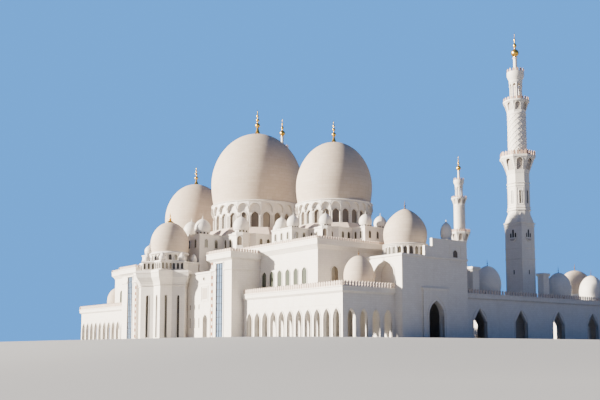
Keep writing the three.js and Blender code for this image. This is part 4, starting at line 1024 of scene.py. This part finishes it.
gateFacet, gatePane, gateRings = newShape(), newShape(), newShape()
reach, half = gate["drum"] * math.cos(facetAngle), gate["drum"] * math.sin(facetAngle)
place, arch = onWall(0, -reach, 0, 0), (0, 1.0, 23.2, 25.4, 26.0)
plate(gateFacet, place, rectangle(-half, half, 22.85, 26.6), -0.35, 0, [archCurve(*arch)])
turnedColumn(gateFacet, place(half, 0, 0.05), 23.1, 26.0, 0.15, 6)
archPane(gatePane, place, arch, -0.3, -0.16)
standPair(("gateDrums", "gateDrumPanes"), (gateFacet, gatePane),
          bothSides([(gateDome["x"], 0, 0, i * 15.0, 1.0) for i in range(24)]))
for x in bothX(gateDome["x"]):
    for low in (26.2, 26.62):
        turned(gateRings, [(5.75, low), (6.45, low), (6.62, low + 0.12), (6.45, low + 0.28), (5.75, low + 0.28)],
               64, (x, 0), ring=True)
    turned(gateRings, [(5.9, 22.8), (6.6, 22.8), (6.6, 23.0), (6.35, 23.1), (5.9, 23.1)], 64, (x, 0), ring=True)
makePiece("gateDrumRings", gateRings, [whiteMarble])
report("gates")


# Minarets: one is built at the origin and stood at the four corners

minaret = {"half": 3.45, "shaftTop": 39.7, "octagon": 3.5, "corbel": (56.4, 61.8), "slab": 6.15, "deck": 62.5,
           "rail": 1.65, "cylinder": 3.05, "upperCorbel": (77.7, 81.4), "upperSlab": 4.4, "upperDeck": 82.0,
           "lantern": 2.03, "cap": 88.6, "capRadius": 2.9, "capTop": 92.3, "neckTop": 97.6, "ball": 99.3,
           "spots": [(-67.6, 61.2), (67.6, 61.2), (-67.6, 185.0), (67.6, 185.0)]}
tau = 1 / math.cos(math.pi / 8)
towerTan, towerShade = 1, 2


def squareShaft(stone, dark):
    half, top = minaret["half"], minaret["shaftTop"]
    plan = rectangle(-half, half, -half, half)
    upright(stone, plan, 0, top)
    for low, out, tall in ((12.6, 0.2, 0.5), (27.2, 0.16, 0.3), (30.8, 0.14, 0.24), (38.4, 0.18, 0.35),
                           (39.2, 0.3, 0.5)):
        moulding(stone, plan, [(-0.2, low), (out * 0.5, low), (out, low + tall * 0.5), (out, low + tall),
                               (-0.2, low + tall)])
    for degrees in (0, 90, 180, 270):
        place = onWall(0, 0, 0, degrees)
        # three dark lights over an inverted bracket, the middle one taller
        for u, width, high in ((-0.95, 0.7, 36.2), (0.0, 0.78, 37.4), (0.95, 0.7, 36.2)):
            archLight(stone, dark, place, (u, width, 34.6, high - 0.45, high), half - 0.1, half + 0.05, 0.1,
                      half + 0.16)
        plate(stone, place, [(-1.5, 34.6), (-1.5, 34.3), (-0.5, 33.2), (0.5, 33.2), (1.5, 34.3), (1.5, 34.6)],
              half - 0.1, half + 0.42)
        # the bracket's inner face in painted shade
        plate(stone, place, [(-1.2, 34.2), (-0.6, 33.5), (0.6, 33.5), (1.2, 34.2)], half - 0.1, half + 0.46,
              finish=towerShade)
        archLight(stone, dark, place, (0, 0.5, 22.2, 23.4, 23.8), half - 0.1, half + 0.03, 0.12, half + 0.1)
        plate(stone, place, rectangle(-2.6, 2.6, 14.4, 26.4), half - 0.1, half + 0.07,
              [rectangle(-2.48, 2.48, 14.52, 26.28)])


def octagonShaft(stone, dark):
    half, octagon = minaret["half"], minaret["octagon"]
    profile = [(0, 39.6), (octagon, 39.6), (octagon, 43.5)]
    for low, out, tall in ((43.6, 0.3, 0.6), (44.5, 0.2, 0.5), (51.9, 0.16, 0.4), (52.9, 0.22, 0.5)):
        high = low + tall
        profile += [(octagon, low), (octagon + out, low + tall * 0.4), (octagon + out, high), (octagon, high)]
    turned(stone, [(radius * tau, z) for radius, z in profile + [(octagon, 56.6), (0, 56.6)]], 8, turn=22.5)
    # a broach at each corner leads the square into the octagon
    near = half * 0.4142
    for sx, sy in quadrants:
        addFaces(stone, [(sx * half, sy * half, 39.7), (sx * half, sy * near, 39.7), (sx * near, sy * half, 39.7),
                         (sx * octagon * 0.705, sy * octagon * 0.705, 43.4)],
                 [(0, 1, 2), (0, 1, 3), (1, 2, 3), (2, 0, 3)])
    for i in range(8):
        place = onWall(0, 0, 0, 45 * i)
        archLight(stone, dark, place, (0, 0.62, 46.2, 50.2, 50.7), octagon - 0.2, octagon + 0.03, 0.14,
                  octagon + 0.14)
        plate(stone, place, rectangle(-1.1, 1.1, 45.6, 51.5), octagon - 0.1, octagon + 0.07,
              [rectangle(-0.98, 0.98, 45.72, 51.38)])


def flaredCorbel(stone, low, high, inner, outer, niche, crown):
    # eight leaning faces, each with one arched niche cut through to a core in painted shade
    tall, slope = high - low, outer - inner

    def reach(share):
        return inner + slope * share * (0.4 + 0.6 * share)
    width, foot, top = niche[0], niche[1] - low, niche[2] - low
    rows = [(math.tan(math.pi / 8) * reach(s), s * tall) for s in (0, 0.25, 0.5, 0.75, 1)]
    arch = archCurve(0, width, foot, top - width * crown, top, 6, False)
    frame = archCurve(0, width + 0.3, foot, top - width * crown, top + 0.16, 6, False)
    for i in range(8):
        flat = onWall(0, 0, low, 45 * i)

        def leaning(u, v, w, flat=flat):
            return flat(u, v, reach(v / tall) + w)
        plate(stone, leaning, rows + [(-u, v) for u, v in reversed(rows)], -0.35, 0, [arch])
        plate(stone, leaning, frame + arch[::-1], -0.1, 0.1)
    core = (inner - 0.02) * tau
    middle = (low + high) / 2
    turned(stone, [(0, low), (core, low), (core + slope * 0.3, middle), (core + slope * 0.55, high), (0, high)],
           8, finish=towerShade, turn=22.5)


def railRing(stone, reach, foot, tall, count, width, faceted):
    # leaf-shaped tan merlons with gaps between them
    leaf = [(width / 2, 0), (width * 0.42, tall * 0.35), (width / 2, tall * 0.6), (width * 0.3, tall * 0.82),
            (0, tall)]
    outline = leaf + [(-u, v) for u, v in reversed(leaf[:-1])]
    if faceted:
        pitch = 2 * reach * math.tan(math.pi / 8) / count
        for i in range(8 * count):
            shift = pitch * (i % count + 0.5 - count / 2)
            plate(stone, onWall(0, 0, foot, 45 * (i // count)), [(u + shift, v) for u, v in outline],
                  reach - 0.2, reach, finish=towerTan)
    else:
        for i in range(count):
            plate(stone, onWall(0, 0, foot, 360 * i / count), outline, reach - 0.16, reach, finish=towerTan)


def balconies(stone):
    low, high = minaret["corbel"]
    slab, deck = minaret["slab"], minaret["deck"]
    flaredCorbel(stone, low, high, minaret["octagon"] + 0.05, slab / tau - 0.15, (2.0, low + 1.3, high - 0.35), 0.45)
    turned(stone, [(0, high - 0.05), (slab - 0.1, high - 0.05), (slab, high + 0.2), (slab, deck), (0, deck)],
           8, turn=22.5)
    railRing(stone, slab / tau - 0.08, deck - 0.02, minaret["rail"], 4, 0.92, True)
    low, high = minaret["upperCorbel"]
    slab, deck = minaret["upperSlab"], minaret["upperDeck"]
    flaredCorbel(stone, low, high, minaret["cylinder"] - 0.1, slab - 0.35, (1.7, low + 0.9, high - 0.25), 0.5)
    turned(stone, [(0, high - 0.05), (slab - 0.15, high - 0.05), (slab, high + 0.15), (slab, deck), (0, deck)], 40)
    railRing(stone, slab - 0.08, deck - 0.02, 1.1, 22, 0.84, False)


def roundShaft(stone, dark):
    radius, low, high = minaret["cylinder"], minaret["deck"], minaret["upperCorbel"][0]
    turned(stone, [(0, low - 0.1), (radius + 0.22, low - 0.1), (radius + 0.22, low + 1.2), (radius, low + 1.4),
                   (radius, high - 0.7), (radius + 0.15, high - 0.5), (radius + 0.15, high - 0.1),
                   (radius, high + 0.1), (0, high + 0.1)], 48)
    # raised ribs cross into a net of diamonds
    steps, ribs, first, last = 26, 10, low + 1.5, high - 0.8
    section = ((-0.15, radius - 0.05), (-0.15, radius + 0.12), (0.15, radius + 0.12), (0.15, radius - 0.05))
    faces = [(4 * i + j, 4 * i + (j + 1) % 4, 4 * i + (j + 1) % 4 + 4, 4 * i + j + 4)
             for i in range(steps) for j in range(4)]
    faces += [(0, 1, 2, 3), (4 * steps + 3, 4 * steps + 2, 4 * steps + 1, 4 * steps)]
    for k in range(ribs):
        for hand in (-1, 1):
            points = []
            for i in range(steps + 1):
                turn = 2 * math.pi * (k / ribs + hand * 0.68 * i / steps)
                for shift, reach in section:
                    a = turn + shift / radius
                    points.append((reach * math.sin(a), -reach * math.cos(a), first + (last - first) * i / steps))
            addFaces(stone, points, faces)
    for i in range(4):
        archPane(dark, onWall(0, 0, 0, 90 * i + 45), (0, 0.6, low + 0.5, low + 2.2, low + 2.6), radius - 0.2,
                 radius + 0.04, 4)


def lantern(stone):
    deck, cap, reach, capTop, neck = (minaret[key] for key in ("upperDeck", "cap", "lantern", "capTop", "neckTop"))
    # the core behind the lantern's columns, in painted shade
    turned(stone, [(0, deck - 0.1), (0.75, deck - 0.1), (0.75, cap + 0.1), (0, cap + 0.1)], 16, finish=towerShade)
    turned(stone, [(0, deck - 0.1), (2.3, deck - 0.1), (2.3, deck + 0.5), (2.1, deck + 0.6), (0, deck + 0.6)], 32)
    half = (reach + 0.14) * math.sin(math.pi / 8)
    arch = archCurve(0, 2 * half - 0.5, cap - 1.3, cap - 1.2, cap - 0.35, 5)[1:-1][::-1]
    outline = [(half, cap - 1.3), (half, cap + 0.1), (-half, cap + 0.1), (-half, cap - 1.3),
               (-half + 0.24, cap - 1.3)]
    for i in range(8):
        turnedColumn(stone, onWall(0, 0, 0, 45 * i)(0, 0, reach - 0.2), deck + 0.5, cap - 1.2, 0.26)
        plate(stone, onWall(0, 0, 0, 45 * (i + 0.5)), outline + arch + [(half - 0.24, cap - 1.3)], reach - 0.3,
              reach - 0.02)
    wide = minaret["capRadius"]
    turned(stone, [(0, cap - 0.1), (2.2, cap - 0.1), (2.3, cap + 0.4), (2.15, cap + 0.6), (2.6, cap + 1.6),
                   (wide, cap + 2.4), (wide, capTop), (2.5, capTop + 0.05), (0, capTop + 0.05)], 40)
    railRing(stone, wide - 0.02, capTop - 0.02, 1.2, 14, 0.84, False)
    turned(stone, [(0, capTop), (1.5, capTop), (1.35, capTop + 0.5), (0.8, capTop + 0.9), (0.62, capTop + 1.5),
                   (0.6, neck - 0.4), (0.8, neck - 0.2), (0.8, neck), (0, neck)], 28)


def standTowers(name, shape, finishes, replaced=(), smoothBelow=30):
    whole = newShape()
    for x, y in minaret["spots"]:
        addFaces(whole, [(px + x, py + y, pz) for px, py, pz in shape["points"]], shape["faces"])
    whole["finish"] = shape["finish"] * len(minaret["spots"])
    makePiece(name, whole, finishes, replaced, smoothBelow)


tower, openings, tip = newShape(), newShape(), newShape()
squareShaft(tower, openings)
octagonShaft(tower, openings)
balconies(tower)
roundShaft(tower, openings)
lantern(tower)
ballOutline = [(1.3 * math.cos(a), minaret["ball"] + 1.3 * math.sin(a))
               for a in [math.radians(d) for d in range(-66, 70, 12)]]
turned(tip, [(0, 97.55), (0.62, 97.55), (0.5, 97.9)] + ballOutline
       + [(0.3, 100.65), (0.26, 101.1), (0.5, 101.5), (0.62, 101.95), (0.5, 102.4), (0.2, 102.8), (0.16, 103.4),
          (0.3, 103.7), (0.34, 104.0), (0.24, 104.3), (0.1, 104.6), (0.07, 106.0), (0, 107.0)], 24)
corners = ("near_right", "near_left", "far_right", "far_left")
standTowers("minaretStone", tower, [whiteMarble, tanMarble, shadedMarble],
            [f"minaret_{part}_{corner}" for part in ("shaft", "upper") for corner in corners])
standTowers("minaretOpenings", openings, [darkGlass])
standTowers("minaretTips", tip, [gold], [f"minaret_finial_{corner}" for corner in corners], 50)
report("minarets")


# Camera, floor and light

view = {"spot": (24.285, -16.849, -0.305), "heading": (-0.7908, 0.6120), "rise": 5.785, "lens": 49.92, "shift": 0.11}
camera = linked("photographersCamera", bpy.data.cameras.new("photographersCamera"))
camera.data.lens, camera.data.sensor_width, camera.data.shift_y = view["lens"], 36.0, view["shift"]
camera.data.clip_start, camera.data.clip_end = 0.1, 900.0
camera.location = view["spot"]
level, rise = math.cos(math.radians(view["rise"])), math.sin(math.radians(view["rise"]))
forward = Vector((view["heading"][0] * level, view["heading"][1] * level, rise))
camera.rotation_euler = forward.to_track_quat("-Z", "Y").to_euler()
bpy.context.scene.camera = camera

floorLook = {"tones": ("#9d9c9a", "#969593"), "flat": 1.2, "fall": 11.0, "depth": 0.62, "middle": 7.9, "sides": 96,
             "halfWidth": 9.2, "halfLength": 13.2, "power": 10.0, "under": 0.0005}


def layFloor(look):
    # level under the building, then a gentle fall all round, because the camera stands below it
    steps = [0.0, 0.6, 1.2, 1.8, 2.5, 3.3, 4.2, 5.2, 6.3, 7.5, 8.8, 10.2, 11.7, 13.5, 18, 30, 60, 120, 240, 420]
    sides, middle, power = look["sides"], look["middle"], look["power"]
    points, faces = [(0, middle, -look["under"])], []
    for step in steps:
        part = min(1.0, max(0.0, (step - look["flat"]) / look["fall"]))
        z = -look["depth"] * part * part * (3 - 2 * part) - look["under"]
        for i in range(sides):
            dx, dy = math.cos(2 * math.pi * i / sides), math.sin(2 * math.pi * i / sides)
            edge = (abs(dx / look["halfWidth"]) ** power + abs(dy / look["halfLength"]) ** power) ** (-1 / power)
            points.append((dx * (edge + step), middle + dy * (edge + step), z))
    for i in range(sides):
        j = (i + 1) % sides
        faces.append((0, 1 + i, 1 + j))
        for k in range(len(steps) - 1):
            a, b = 1 + k * sides, 1 + (k + 1) * sides
            faces.append((a + i, b + i, b + j, a + j))
    mesh = bpy.data.meshes.new("paleFloor")
    mesh.from_pydata(points, [], faces)
    mesh.polygons.foreach_set("use_smooth", [True] * len(mesh.polygons))
    # matt pale studio floor with wide soft clouds of tone
    material, add, place = openMaterial("mattPaleFloor")
    cloud = add("TexNoise", {"Scale": 0.15, "Detail": 2.0, "Vector": place["Object"]}).outputs[0]
    tone = mixed(add, cloud, *[toLinear(tone) for tone in look["tones"]])
    closeMaterial(add, {"Roughness": 0.9, "Base Color": tone})
    mesh.materials.append(material)
    return linked("paleFloor", mesh)


layFloor(floorLook)

keyLook = {"energy": 28.0, "spread": 2, "colour": (1.0, 0.92, 0.80), "azimuth": -30, "height": 16}
keyLight = linked("softKey", bpy.data.lights.new("softKey", "SUN"))
keyLight.data.energy, keyLight.data.angle = keyLook["energy"], math.radians(keyLook["spread"])
keyLight.data.color = keyLook["colour"]
azimuth, height = math.radians(keyLook["azimuth"]), math.radians(keyLook["height"])
toLight = Vector((math.sin(azimuth) * math.cos(height), -math.cos(azimuth) * math.cos(height), math.sin(height)))
keyLight.rotation_euler = toLight.to_track_quat("Z", "Y").to_euler()
# the building gets a soft blue fill, and the camera sees a lighter backdrop
skyLook = {"fill": ("#7aa4ee", 0.46), "backdrop": ("#55a3fa", 1.3)}
world = bpy.data.worlds.new("softStudio")
world.use_nodes = True
sky = world.node_tree
sky.nodes.clear()
fill, backdrop = [addNode(sky, "ShaderNodeBackground", {"Color": toLinear(tone), "Strength": strength})
                  for tone, strength in (skyLook["fill"], skyLook["backdrop"])]
seen = addNode(sky, "ShaderNodeLightPath")
both = addNode(sky, "ShaderNodeMixShader", {0: seen.outputs["Is Camera Ray"], 1: fill.outputs[0],
                                           2: backdrop.outputs[0]})
addNode(sky, "ShaderNodeOutputWorld", {0: both.outputs[0]})
bpy.context.scene.world = world

# Finishes of the CAD nodes that stay in view

for name, node in frame["nodes"].items():
    finish = whiteMarble
    if name in ("hall_roof", "hall_floor"):
        finish = roofStone
    elif name.startswith("pylon_glass"):
        finish = blueGlass
    elif "finial" in name:
        finish = gold
    node.data.materials.clear()
    node.data.materials.append(finish)

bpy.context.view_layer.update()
report("scene ready")
